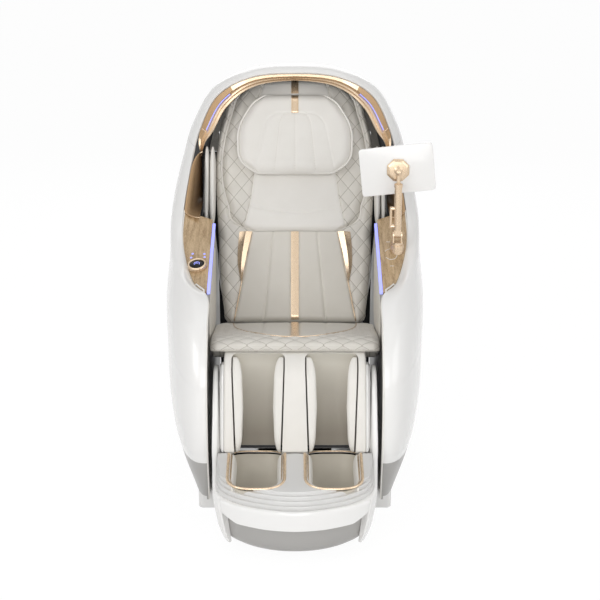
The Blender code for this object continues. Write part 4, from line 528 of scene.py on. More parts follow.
class Maker:
    """The few ways in which the chair's pieces are modelled."""

    def __init__(self) -> None:
        """Starts with no piece made."""
        self.count = 0

    @staticmethod
    def only(obj: Piece) -> Piece:
        """Deselects everything and makes obj the one that the operators work on.

        Args:
            obj: the piece.

        Returns:
            The same piece.
        """
        bpy.ops.object.select_all(action="DESELECT")
        obj.select_set(True)
        bpy.context.view_layer.objects.active = obj
        return obj

    def edit(self, obj: Piece, *steps: Callable[[], object]) -> Piece:
        """Runs operators on the whole of obj in edit mode.

        Args:
            obj: the piece.
            steps: the operators.

        Returns:
            The same piece.
        """
        self.only(obj)
        bpy.ops.object.mode_set(mode="EDIT")
        bpy.ops.mesh.select_all(action="SELECT")
        for step in steps:
            step()
        bpy.ops.object.mode_set(mode="OBJECT")
        return obj

    def loft(self, name: str, rings: Sequence, wrap: bool = True, marks: Sequence | None = None) -> Piece:
        """A skin through rings of points, drawn on a grid primitive.

        Args:
            name: the piece's name.
            rings: rows of points, all of one length.
            wrap: whether each ring closes on itself, and the two ends are capped.
            marks: for each ring's points, the place on the fabric in metres, kept as the UV.

        Returns:
            The object.
        """
        rows = [list(ring) + ([ring[0]] if wrap else []) for ring in rings]
        places = np.array([[tuple(point) for point in row] for row in rows], dtype=float)
        down, across = places.shape[0], places.shape[1]
        bpy.ops.mesh.primitive_grid_add(x_subdivisions=across - 1, y_subdivisions=down - 1, size=1.0)
        obj = bpy.context.active_object
        obj.name = obj.data.name = name
        mesh = obj.data
        flat = np.empty(len(mesh.vertices) * 3)
        mesh.vertices.foreach_get("co", flat)
        flat = flat.reshape(-1, 3) + 0.5
        columns = np.rint(flat[:, 0] * (across - 1)).astype(int)
        lines = np.rint(flat[:, 1] * (down - 1)).astype(int)
        mesh.vertices.foreach_set("co", places[lines, columns].ravel())
        if marks is not None:
            rows = [list(ring) + ([ring[0]] if wrap else []) for ring in marks]
            spots = np.array(rows, dtype=float)[lines, columns]
            corner = np.empty(len(mesh.loops), dtype=int)
            mesh.loops.foreach_get("vertex_index", corner)
            mesh.uv_layers.active.data.foreach_set("uv", spots[corner].ravel())
        mesh.update()
        if wrap:
            self.edit(
                obj,
                lambda: bpy.ops.mesh.remove_doubles(threshold=0.00001),
                lambda: bpy.ops.mesh.fill_holes(sides=0),
                lambda: bpy.ops.mesh.normals_make_consistent(inside=False),
            )
        return obj

    def skin(
        self, name: str, rows: Sequence, outward: Point, wall: float, rim: float = 0.0015, coats: Sequence[Finish] = ()
    ) -> Piece:
        """An open sheet given a wall inwards, with its edges rounded.

        Args:
            name: the piece's name.
            rows: rows of points.
            outward: a point that the sheet's good side looks away from.
            wall: its thickness.
            rim: the rounding of its edges.
            coats: the finishes of its good side and of its inner side, where they differ.

        Returns:
            The object.
        """
        obj = self.loft(name, rows, wrap=False)
        for coat in coats:
            obj.data.materials.append(coat.material())
        total = 0.0
        for face in obj.data.polygons:
            total += face.normal.dot(face.center - Vector(outward)) * face.area
        if total < 0:
            self.edit(obj, lambda: bpy.ops.mesh.flip_normals())
        self.modifier(obj, "SOLIDIFY", thickness=wall, offset=-1.0, material_offset=len(coats) - 1 if coats else 0)
        if rim:
            self.bevel(obj, rim, 50)
        return obj

    def modifier(self, obj: Piece, kind: str, **settings: object) -> None:
        """Adds a modifier and applies it.

        Args:
            obj: the piece.
            kind: the kind of modifier.
            settings: its settings.
        """
        self.only(obj)
        made = obj.modifiers.new(kind.title(), kind)
        for key, value in settings.items():
            setattr(made, key, value)
        bpy.ops.object.modifier_apply(modifier=made.name)

    def bevel(self, obj: Piece, width: float, angle: float, segments: int = 3) -> None:
        """Rounds a piece's edges that are sharper than an angle in degrees."""
        limit = math.radians(angle)
        self.modifier(obj, "BEVEL", width=width, segments=segments, limit_method="ANGLE", angle_limit=limit)

    def cut(self, obj: Piece, rings: Sequence) -> None:
        """Cuts the body between some rings out of a piece.

        Args:
            obj: the piece.
            rings: rings of points, all of one count.
        """
        cutter = self.loft("cutter", rings)
        made = obj.modifiers.new("Well", "BOOLEAN")
        made.object, made.operation, made.solver = cutter, "DIFFERENCE", "EXACT"
        made.use_self = made.use_hole_tolerant = True
        self.only(obj)
        bpy.ops.object.modifier_apply(modifier=made.name)
        bpy.data.objects.remove(cutter)

    def coats(self, obj: Piece, first: Finish, second: Finish, where: Callable[[float, float], bool]) -> None:
        """Gives a piece two finishes, the second on faces whose distance across and height pass a test.

        Args:
            obj: the piece.
            first: the finish of the whole piece.
            second: the finish where the test holds.
            where: the test, on distance across and height.
        """
        for finish in (first, second):
            obj.data.materials.append(finish.material())
        layer = obj.data.uv_layers.active.data
        for face in obj.data.polygons:
            spots = [layer[k].uv for k in face.loop_indices]
            across = sum(abs(spot.x) for spot in spots) / len(spots)
            if where(across, sum(spot.y for spot in spots) / len(spots)):
                face.material_index = 1

    def tube(self, name: str, path: Sequence, radius: float, closed: bool = False) -> Piece:
        """Piping, wire or pipe of a radius along a path.

        Args:
            name: name of the piece.
            path: points along it.
            radius: its radius.
            closed: whether its ends join.

        Returns:
            The piece.
        """
        bpy.ops.curve.primitive_bezier_curve_add()
        obj = bpy.context.active_object
        obj.name = name
        data = obj.data
        data.splines.clear()
        spline = data.splines.new("POLY")
        spline.points.add(len(path) - 1)
        for spot, place in zip(spline.points, path):
            spot.co = (*place, 1.0)
        spline.use_cyclic_u = closed
        data.bevel_depth = radius
        data.bevel_resolution = 3
        data.use_fill_caps = not closed
        self.only(obj)
        bpy.ops.object.convert(target="MESH")
        obj = bpy.context.active_object
        obj.data.name = name
        return obj

    def lathe(self, name: str, profile: Sequence, foot: Point, axis: Point, steps: int = 64) -> Piece:
        """A turned piece: (radius, height) rows spun about an axis from a foot point.

        Args:
            name: name of the piece.
            profile: radius and height of each row.
            foot: the point where height is 0.
            axis: direction of the height.
            steps: how many points go round.

        Returns:
            The piece.
        """
        up = Vector(axis).normalized()
        side = up.orthogonal().normalized()
        other = up.cross(side)
        rings = []
        for radius, height in profile:
            ring = []
            for k in range(steps):
                turn = 2 * math.pi * k / steps
                spoke = side * math.cos(turn) + other * math.sin(turn)
                ring.append(Vector(foot) + up * height + spoke * max(radius, 0.00002))
            rings.append(ring)
        return self.loft(name, rings)

    def slab(
        self, name: str, outline: Sequence, low: float, high: float, place: Callable, bevel: float
    ) -> Piece:
        """A plate between two depths, its edges rounded.

        Args:
            name: name of the piece.
            outline: its outline in its own plane.
            low: where it starts.
            high: where it ends.
            place: turns two places in the plane and a depth into a point.
            bevel: radius of its edges.

        Returns:
            The piece.
        """
        rings = [[place(a, b, depth) for a, b in outline] for depth in (low, high)]
        obj = self.loft(name, rings)
        if bevel:
            self.bevel(obj, bevel, 40)
        return obj

    def done(
        self,
        obj: Piece,
        body: str,
        finish: Finish,
        slot: str,
        replaces: Sequence[str] = (),
        smooth: float = 40.0,
    ) -> Piece:
        """Dresses a finished piece and hands it to the frame.

        Args:
            obj: the piece.
            body: the CAD body that it rides on.
            finish: its material.
            slot: the record's material slot; not used.
            replaces: the CAD nodes that it stands for.
            smooth: the sharpest angle that is shaded as one surface, in degrees.

        Returns:
            The piece.
        """
        self.only(obj)
        bpy.ops.object.shade_smooth_by_angle(angle=math.radians(smooth))
        if not obj.data.materials:
            obj.data.materials.append(finish.material())
        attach(obj, body)
        if replaces:
            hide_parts(*replaces)
        self.count += 1
        log.info("piece %s on %s, %d faces, %s", obj.name, body, len(obj.data.polygons), finish.title)
        return obj


MAKER = Maker()


def ridge(half: float, foot: float, edge: float, top: float) -> list:
    """The section of a strip with a low ridge along its middle."""
    return [(-half, foot), (-half, edge), (0.0, top), (half, edge), (half, foot)]


def rounded(
    half_a: float, half_b: float, corner: float, steps: int = 6, centre: tuple[float, float] = (0.0, 0.0)
) -> list:
    """A rounded rectangle's outline.

    Args:
        half_a: half the length.
        half_b: half the height.
        corner: radius of the corners.
        steps: how many points go round.
        centre: its middle.

    Returns:
        The outline's points.
    """
    outline = []
    for sign_a, sign_b, start in ((1, 1, 0), (-1, 1, 90), (-1, -1, 180), (1, -1, 270)):
        for k in range(steps + 1):
            turn = math.radians(start + 90 * k / steps)
            a = centre[0] + sign_a * (half_a - corner) + corner * math.cos(turn)
            b = centre[1] + sign_b * (half_b - corner) + corner * math.sin(turn)
            outline.append((a, b))
    return outline


class Shape:
    """The one drawn surface of the cocoon, which its shells, trim and arms are cut from."""

    @staticmethod
    def row(u: float) -> np.ndarray:
        """The rib at row u, on the smooth line through the rows.

        Args:
            u: row of the surface.

        Returns:
            The row's numbers.
        """
        rows, last = SHELL_ROWS, len(SHELL_ROWS) - 1
        index = min(int(u), last - 1)
        t = u - index
        before = rows[index - 1] if index else 2 * rows[0] - rows[1]
        a, b = rows[index], rows[index + 1]
        after = rows[index + 2] if index + 2 <= last else rows[last - 1] * np.array([-1, 1, 1] * 4)
        bend, twist = 2 * before - 5 * a + 4 * b - after, 3 * a - 3 * b + after - before
        return 0.5 * (2 * a + (b - before) * t + bend * t**2 + twist * t**3)

    @classmethod
    def point(cls, u: float, t: float) -> np.ndarray:
        """The outer face at row u and share t of its rib, on the right side.

        Args:
            u: row of the surface.
            t: share of the rib.

        Returns:
            The point.
        """
        row = cls.row(u)
        rim, leave, rear, arrive = row[0:3], row[3:6], row[6:9], row[9:12]
        s = 1 - t
        return s**3 * rim + 3 * s**2 * t * (rim + leave) + 3 * s * t**2 * (rear + arrive) + t**3 * rear

    @classmethod
    def normal(cls, u: float, t: float, step: float = 0.004) -> np.ndarray:
        """The outward direction of the face.

        Args:
            u: row of the surface.
            t: share of the rib.
            step: how far the slopes are taken.

        Returns:
            The direction, of length 1.
        """
        low, high = max(u - step, 0.0), min(u + step, CROWN)
        along = cls.point(high, t) - cls.point(low, t)
        around = cls.point(u, min(t + step, 1.0)) - cls.point(u, max(t - step, 0.0))
        made = np.cross(along, around)
        if u >= CROWN:
            made[0] = 0.0
        made /= np.linalg.norm(made)
        return made if np.dot(made, cls.point(u, t) - np.array(CORE)) > 0 else -made

    @classmethod
    def rim(cls, u: float) -> np.ndarray:
        """The front rim on the right side."""
        return cls.point(u, 0.0)


@dataclass
class Cocoon:
    """The side shells, the skirts, the hood and the plinth.

    Attributes:
        lines: each swept line's row at the rim, its climb over the side, and the share where that ends.
        skirt_top: the row at which skirt and shell meet.
        hood_foot: the row at which shell and hood meet.
        joint: half the joint, in rows.
    """

    lines: tuple = ((4.1, 2.3, 0.36), (2.66, 0.6, 0.4), (1.24, 0.0, 1.0))
    skirt_top: float = 1.0
    hood_foot: float = 9.6
    joint: float = 0.002
    shares: np.ndarray = field(default_factory=lambda: np.linspace(0, 1, 72) ** 1.35)

    def build(self) -> None:
        """Builds every shell of the cocoon."""
        for side in Side:
            self.wall(side, f"shell_{side.word}", self.skirt_top, self.hood_foot, 150, WHITE, "gloss_white")
            self.wall(side, f"skirt_{side.word}", 0.10, self.skirt_top, 24, SKIRT, "grey_gloss")
            self.piping(side)
            self.gusset(side)
        self.hood()
        self.plinth()

    def face(self, u: float, t: float) -> np.ndarray:
        """The shell's face: the cocoon's surface, stepped in under each of three swept lines.

        Args:
            u: row of the surface.
            t: share of the rib.

        Returns:
            The point.
        """
        steps = 0.0
        for level, sweep, end in self.lines:
            line = level + sweep * min(t / end, 1.0) ** 1.4
            steps += 0.0017 * float(np.interp(line - u, [0.0, 0.05], [0.0, 1.0]))
        return Shape.point(u, t) - Shape.normal(u, t) * steps

    def eased(self, grid: np.ndarray, levels: np.ndarray) -> np.ndarray:
        """The grid relaxed where the rim turns out round the arm's end, so that the face stays full there.

        Args:
            grid: rows of points.
            levels: the row of each.

        Returns:
            The relaxed grid.
        """
        bump = np.clip(1 - np.abs(levels - 5.5) / 1.5, 0, 1)[:, None, None]
        reach = np.clip(1 - np.abs(self.shares - 0.16) / 0.34, 0, 1)[None, :, None]
        mask = np.sqrt(bump * reach) * 0.9
        mask[:, 0] = 0.0
        for _ in range(120):
            mean = grid.copy()
            mean[1:-1, 1:-1] = (grid[2:, 1:-1] + grid[:-2, 1:-1] + grid[1:-1, 2:] + grid[1:-1, :-2]) / 4
            grid = grid + (mean - grid) * mask
        return grid

    def wall(self, side: Side, node: str, low: float, high: float, count: int, finish: Finish, slot: str) -> None:
        """One wall of a side, from row low to row high.

        Args:
            side: the side of the chair.
            node: the node that it stands for.
            low: where it starts.
            high: where it ends.
            count: how many stations.
            finish: its finish.
            slot: its slot.
        """
        across = np.array([side.value, 1, 1])
        begin = low + self.joint
        levels = np.linspace(begin, high - self.joint, count)
        rows = self.eased(np.array([[self.face(u, t) * across for t in self.shares] for u in levels]), levels)
        obj = MAKER.skin(f"{node}_wall", rows, CORE, WALL, 0.0025, (finish, DARK))
        MAKER.done(obj, "chassis", finish, slot, [node])

    def piping(self, side: Side) -> None:
        """The cream bead that closes the shell's front edge against the arm.

        Args:
            side: the side of the chair.
        """
        path = []
        for u in np.linspace(0.05, 8.0, 150):
            edge = Shape.rim(u) - 0.5 * WALL * Shape.normal(u, 0.0)
            path.append((side.value * (edge[0] - 0.0022), edge[1] - 0.0012, edge[2] + 0.0005))
        obj = MAKER.tube(f"arm_bead_{side.word}", path, 0.0024)
        MAKER.done(obj, "chassis", CREAM, "cream_leather")

    def gusset(self, side: Side) -> None:
        """The flange between the shell's rear edge and the backrest: black below as painted shade for the gap there,
        quilted at the shoulder.

        Args:
            side: the side of the chair.
        """
        levels, inner = [1.1, 2.1, 2.5, 9.2, 9.6, 11.6], [0.200, 0.200, 0.2635, 0.2635, 0.235, 0.160]
        # The black part below is painted shade for the gap between shell and backrest.
        for word, low, high, finish, slot in (
            ("rear_gusset", 1.1, 8.28, DARK, "dark_plastic"),
            ("shoulder_quilt", 8.30, 11.6, QUILT, "cream_leather"),
        ):
            rows = []
            for u in np.linspace(low, high, 50):
                edge = Shape.point(u, 1.0)
                ends = np.linspace(edge[0] - WALL * 0.4, min(float(np.interp(u, levels, inner)), edge[0] - WALL), 8)
                rows.append([(side.value * x, edge[1] - 0.006, edge[2]) for x in ends])
            obj = MAKER.skin(f"{word}_{side.word}", rows, (side.value * 0.3, 0.0, 0.6), 0.002, 0.0)
            MAKER.done(obj, "chassis", finish, slot)

    def hood(self) -> None:
        """The hood, in one wall from side to side."""
        climb = [self.hood_foot + self.joint + (CROWN - self.hood_foot - self.joint) * k / 70 for k in range(71)]
        stations = [(u, -1) for u in climb] + [(u, 1) for u in reversed(climb[:-1])]
        rows = [[Shape.point(u, t) * np.array([way, 1, 1]) for t in self.shares] for u, way in stations]
        obj = MAKER.skin("hood_wall", rows, CORE, WALL, 0.0025, (WHITE, DARK))
        MAKER.done(obj, "chassis", WHITE, "gloss_white", ["hood_shell"])

    def plinth(self) -> None:
        """The base with its rounded corners, whose front corners show as two foot plates."""
        outline = rounded(0.291, 0.337, 0.014, 8, (0.0, 0.023))
        obj = MAKER.slab("plinth_body", outline, 0.0, 0.0635, lambda a, b, d: (a, b, d), 0.004)
        MAKER.done(obj, "chassis", WHITE, "gloss_white", ["base_plinth"])


@dataclass
class Hood:
    """The layered champagne trim inside the hood, its side facets in a darker copy of the plating as painted shade, and
    its lights.

    Attributes:
        widths: rows of the surface, each with the trim's width there.
        lit: the rows between which the side lights run.
    """

    widths: tuple = ((9.6, 0.004), (9.8, 0.020), (10.2, 0.041), (11.0, 0.048), (11.8, 0.034), (13.0, 0.0220))
    lit: tuple = (10.19, 11.33)

    def station(self, u: float) -> tuple[np.ndarray, np.ndarray, float]:
        """The trim's outer edge at row u, the way inwards there, and its width.

        Args:
            u: row of the surface.

        Returns:
            The edge, the way inwards and the width.
        """
        edge = Shape.rim(u) - Shape.normal(u, 0.0) * (WALL + 0.0003)
        inward = np.array([0.0, 0.0, 0.75]) - edge
        inward[1] = 0.0
        inward /= np.linalg.norm(inward)
        drop = max(0.0, (10.05 - u) / 0.45) ** 2
        edge = edge + inward * 0.020 * drop + np.array([0.0, -0.003, -0.018]) * drop
        return edge, inward, max(curve(self.widths)(u), 0.004)

    def build(self) -> None:
        """Builds the trim and the lights."""
        climb = np.linspace(9.602, 13.0, 110)
        stations = [(u, -1) for u in climb] + [(u, 1) for u in climb[-2::-1]]
        rings, marks = [], []
        for u, way in stations:
            edge, inward, w = self.station(u)
            flat = float(np.interp(u, [11.2, 11.9], [1.0, 0.0]))
            third = w * (1 / 3 + 0.10 * flat)
            profile = [(0.0, -0.004), (third * 0.85, -0.004 - 0.004 * flat), (third, -0.002 - 0.004 * flat)]
            profile += [(third, 0.007), (third + (w - third) * 0.48, 0.002), (third + (w - third) * 0.5, 0.009)]
            profile += [(w * 0.95, 0.004), (w, 0.007), (w, 0.016), (0.0, 0.016)]
            mirror = np.array([way, 1, 1])
            rings.append([(edge + inward * a + np.array([0, b, 0])) * mirror for a, b in profile])
            marks.append([(a / w, u) for a, b in profile])
        obj = MAKER.loft("hood_trim_layers", rings, marks=marks)
        low, high = self.lit[0] - 0.28, self.lit[1] + 0.1
        # The outer facets by the lights take the darker copy of the plating: painted shade.
        MAKER.coats(obj, CHAMPAGNE, CHAMPAGNE_PAINTED_SHADE, lambda across, u: across < 0.40 and low < u < high)
        MAKER.done(obj, "chassis", CHAMPAGNE, "champagne", ["hood_trim"], smooth=28)
        for side in Side:
            mirror = np.array([side.value, 1, 1])
            path = []
            for u in np.linspace(*self.lit, 40):
                edge, inward, w = self.station(u)
                path.append((edge + inward * w * 0.44 + np.array([0, -0.0045, 0])) * mirror)
            line = MAKER.tube(f"hood_line_{side.word}", path, 0.0021)
            MAKER.done(line, "chassis", LAMP, "lamp_violet", ["hood_light"] if side is Side.LEFT else [])
            edge, inward, w = self.station(self.lit[0] - 0.04)
            path = [(edge + inward * w * k + np.array([0, -0.0085, 0])) * mirror for k in (0.02, 0.25, 0.5)]
            MAKER.done(MAKER.tube(f"hood_clip_{side.word}", path, 0.0016), "chassis", CHAMPAGNE, "champagne")


@dataclass
class Arms:
    """The oak arm panels and what is on them, the inner pads, the forearm tunnels and their airbags.

    Attributes:
        inner: how far from the middle a panel's inner edge is.
        wood: thickness of a panel.
    """

    inner: float = 0.2622
    wood: float = 0.006

    def __post_init__(self) -> None:
        """Takes the rows of the rim along the arm, and how far along each one is."""
        self.rows = np.linspace(*ARM_ROWS, 60)
        self.ys = np.array([Shape.rim(u)[1] for u in self.rows])

    def inner_height(self, y: float) -> float:
        """Height of the panel's inner edge."""
        return 0.643 + 0.33 * (y + 0.2)

    def top(self, x: float, y: float) -> float:
        """Height of the panel's face.

        Args:
            x: distance across from the middle.
            y: distance along, the rear positive.

        Returns:
            The height.
        """
        edge = Shape.rim(float(np.interp(y, self.ys, self.rows)))
        share = (abs(x) - 0.256) / max(edge[0] - 0.256, 0.01)
        return self.inner_height(y) + share * (edge[2] - 0.002 - self.inner_height(y))

    def foot(self, x: float, y: float) -> tuple[Vector, Vector]:
        """The point of the panel's face over (x, y), and its upward direction.

        Args:
            x: distance across from the middle.
            y: distance along, the rear positive.

        Returns:
            The point and the direction.
        """
        step = 0.01
        rise_x = (self.top(x + step, y) - self.top(x - step, y)) / (2 * step)
        rise_y = (self.top(x, y + step) - self.top(x, y - step)) / (2 * step)
        return Vector((x, y, self.top(x, y))), Vector((-rise_x, -rise_y, 1)).normalized()

    def build(self) -> None:
        """Builds both arms."""
        for side in Side:
            self.panel(side)
            self.tunnel(side)
            self.airbag(side)
            self.inner_pad(side)
        self.knob()
        self.marks()

    def panel(self, side: Side) -> None:
        """The oak panel, with its edge eased.

        Args:
            side: the side of the chair.
        """
        rows = []
        for u in np.linspace(*ARM_ROWS, 60):
            edge = Shape.rim(u)
            xs = np.linspace(self.inner, edge[0] - 0.0035, 14)
            rows.append([(side.value * x, edge[1], self.top(x, edge[1])) for x in xs])
        obj = MAKER.skin(f"oak_{side.word}", rows, (side.value * 0.3, 0.0, 0.2), self.wood, 0.001)
        slot = "oak" if side is Side.LEFT else "oak_gloss"
        MAKER.done(obj, "chassis", OAK, slot, [f"wood_panel_{side.word}"])

    def tunnel(self, side: Side) -> None:
        """The forearm tunnel: a champagne cuff that narrows to the rear, and a black sheet on its inner side that is
        painted shade for the tunnel's depth.

        Args:
            side: the side of the chair.
        """
        steps = np.arange(7, 11, 0.05)
        heights = [Shape.rim(u)[2] for u in steps]
        low, high, deep, inner = 0.783, 0.958, 0.430, 0.2985
        rows, lining = [], []
        for z in dense(low, high, 60, 0.85):
            rim = Shape.rim(float(np.interp(z, heights, steps)))
            open_ = roll(min((z - low) * 2.4, (high - z) * 0.9), 0.045)
            edge = inner + (rim[0] - 0.0030 - inner) * max(open_, 0.05)
            rear = 0.3035 + 0.0075 * open_
            row = []
            for q in np.linspace(0, math.pi / 2, 26):
                x = edge + (rear - edge) * math.sin(q)
                row.append((side.value * x, rim[1] + 0.0015 + (deep - rim[1]) * (1 - math.cos(q)), z))
            rows.append(row)
            lining.append([(side.value * x, y, z) for x, y in ((0.2933, rim[1] + 0.030), (0.2933, deep), (rear, deep))])
        axis = (side.value * 0.300, 0.32, 0.865)
        # The cuff's back takes the darker copy of the plating: painted shade.
        cuff = MAKER.skin(f"tunnel_cuff_{side.word}", rows, axis, 0.003, 0.001, (CHAMPAGNE, CHAMPAGNE_PAINTED_SHADE))
        MAKER.done(cuff, "chassis", CHAMPAGNE, "champagne", [f"tunnel_{side.word}"])
        # The black sheet stands in for the shade deep in the tunnel: painted shade.
        inside = MAKER.skin(f"tunnel_lining_{side.word}", lining, (side.value * 0.310, 0.32, 0.865), 0.0015, 0.0)
        MAKER.done(inside, "chassis", DARK, "dark_plastic")

    def airbag(self, side: Side) -> None:
        """The forearm airbag: two thin leather leaves, one on the other.

        Args:
            side: the side of the chair.
        """
        start, end = np.array([0.286, 0.727]), np.array([0.408, 0.955])
        way = (end - start) / np.linalg.norm(end - start)
        across = np.array([-way[1], way[0]])
        middle, half = (0.2600 + 0.2980) / 2, (0.2980 - 0.2600) / 2
        for leaf, centre in (("inner", middle - half / 2), ("outer", middle + half / 2)):
            rings = []
            for t in dense(0.0, 1.0, 40, 0.9):
                swell = max((1 - abs(2 * t - 1) ** 4), 0.0004) ** 0.5
                wide, thick = 0.045 * (0.35 + 0.65 * swell), (half / 2 - 0.0004) * max(0.3, swell)
                spot = start + t * (end - start)
                ring = []
                for k in range(36):
                    turn = 2 * math.pi * k / 36
                    c, s = math.cos(turn), math.sin(turn)
                    y, z = spot + across * math.copysign(abs(c) ** 0.6, c) * wide
                    ring.append((side.value * (centre + math.copysign(abs(s) ** 0.5, s) * thick), y, z))
                rings.append(ring)
            obj = MAKER.loft(f"arm_airbag_{leaf}_{side.word}", rings)
            replaced = [f"arm_pad_{side.word}"] if leaf == "inner" else []
            MAKER.done(obj, "chassis", CREAM, "cream_leather", replaced, smooth=60)

    def inner_pad(self, side: Side) -> None:
        """The slim pad on the arm's inner wall.

        Args:
            side: the side of the chair.
        """
        outline = [(-0.17, 0.622), (0.10, 0.700), (0.135, 0.690), (0.150, 0.640), (0.125, 0.480), (0.09, 0.455)]
        outline += [(-0.17, 0.455), (-0.20, 0.48), (-0.20, 0.60)]
        name = f"arm_inner_pad_{side.word}"
        obj = MAKER.slab(name, outline, 0.2525, 0.2563, lambda a, b, d: (side.value * d, a, b), 0.0016)
        MAKER.done(obj, "chassis", GREIGE, "cream_leather")

    def knob(self) -> None:
        """The rotary ring with its pressed centre, and the lit sign on it."""
        foot, up = self.foot(-0.297, -0.060)
        foot = foot + up * 0.0012
        profile = [(0.0226, 0.0), (0.029, 0.0), (0.029, 0.008), (0.0283, 0.0115), (0.0268, 0.0132), (0.0250, 0.0138)]
        profile += [(0.0236, 0.0130), (0.0226, 0.0118), (0.0226, 0.0)]
        ring = MAKER.lathe("knob_bezel", profile, foot, up)
        MAKER.done(ring, "knob_ring_body", CHAMPAGNE, "champagne", ["knob_ring"], smooth=50)
        profile = [(0.0, 0.006), (0.022, 0.006), (0.022, 0.0112), (0.0212, 0.0121), (0.0, 0.0126)]
        face = MAKER.lathe("knob_face", profile, foot, up)
        MAKER.done(face, "knob_button_body", BLACK, "black_gloss", ["knob_button"], smooth=50)
        side = up.cross(Vector((0, 1, 0))).normalized()
        front = side.cross(up)
        top = foot + up * 0.0127
        arc = [top + side * 0.0085 * math.cos(a) + front * 0.0085 * math.sin(a) for a in np.linspace(-0.6, 3.74, 30)]
        sign = MAKER.tube("knob_sign_ring", arc, 0.0008)
        MAKER.done(sign, "knob_button_body", LAMP, "lamp_violet")
        roof = [top + side * a + front * b for a, b in ((-0.0045, -0.001), (0, 0.0035), (0.0045, -0.001))]
        sign = MAKER.tube("knob_sign_mark", roof, 0.0009)
        MAKER.done(sign, "knob_button_body", LAMP, "lamp_violet")

    def marks(self) -> None:
        """The touch dots of the left panel, and the charging ring and small bars of the right one."""
        for k, (x, y) in enumerate(((-0.3155, 0.006), (-0.3190, -0.012), (-0.2790, 0.002), (-0.2775, -0.014))):
            foot, up = self.foot(x, y)
            profile = [(0.0, -0.001), (0.0034, -0.001), (0.0034, 0.0012), (0.0, 0.0015)]
            dot = MAKER.lathe(f"touch_dot_{k + 1}", profile, foot, up, 24)
            MAKER.done(dot, "chassis", LAMP, "lamp_violet")
        foot, up = self.foot(0.2955, 0.002)
        side = up.cross(Vector((0, 1, 0))).normalized()
        front = side.cross(up)
        ring = []
        for a in np.linspace(0.5, 5.6, 40):
            ring.append(foot + up * 0.0006 + side * 0.0195 * math.cos(a) + front * 0.0270 * math.sin(a))
        MAKER.done(MAKER.tube("charging_ring", ring, 0.0009), "chassis", CREAM, "cream_leather")
        for k, (x, y) in enumerate(((0.291, 0.062), (0.296, -0.055))):
            foot, up = self.foot(x, y)
            bar = [foot + up * 0.0006 + Vector((a, 0, 0)) for a in (-0.006, 0.0, 0.006)]
            MAKER.done(MAKER.tube(f"touch_bar_{k + 1}", bar, 0.0009), "chassis", CREAM, "cream_leather")


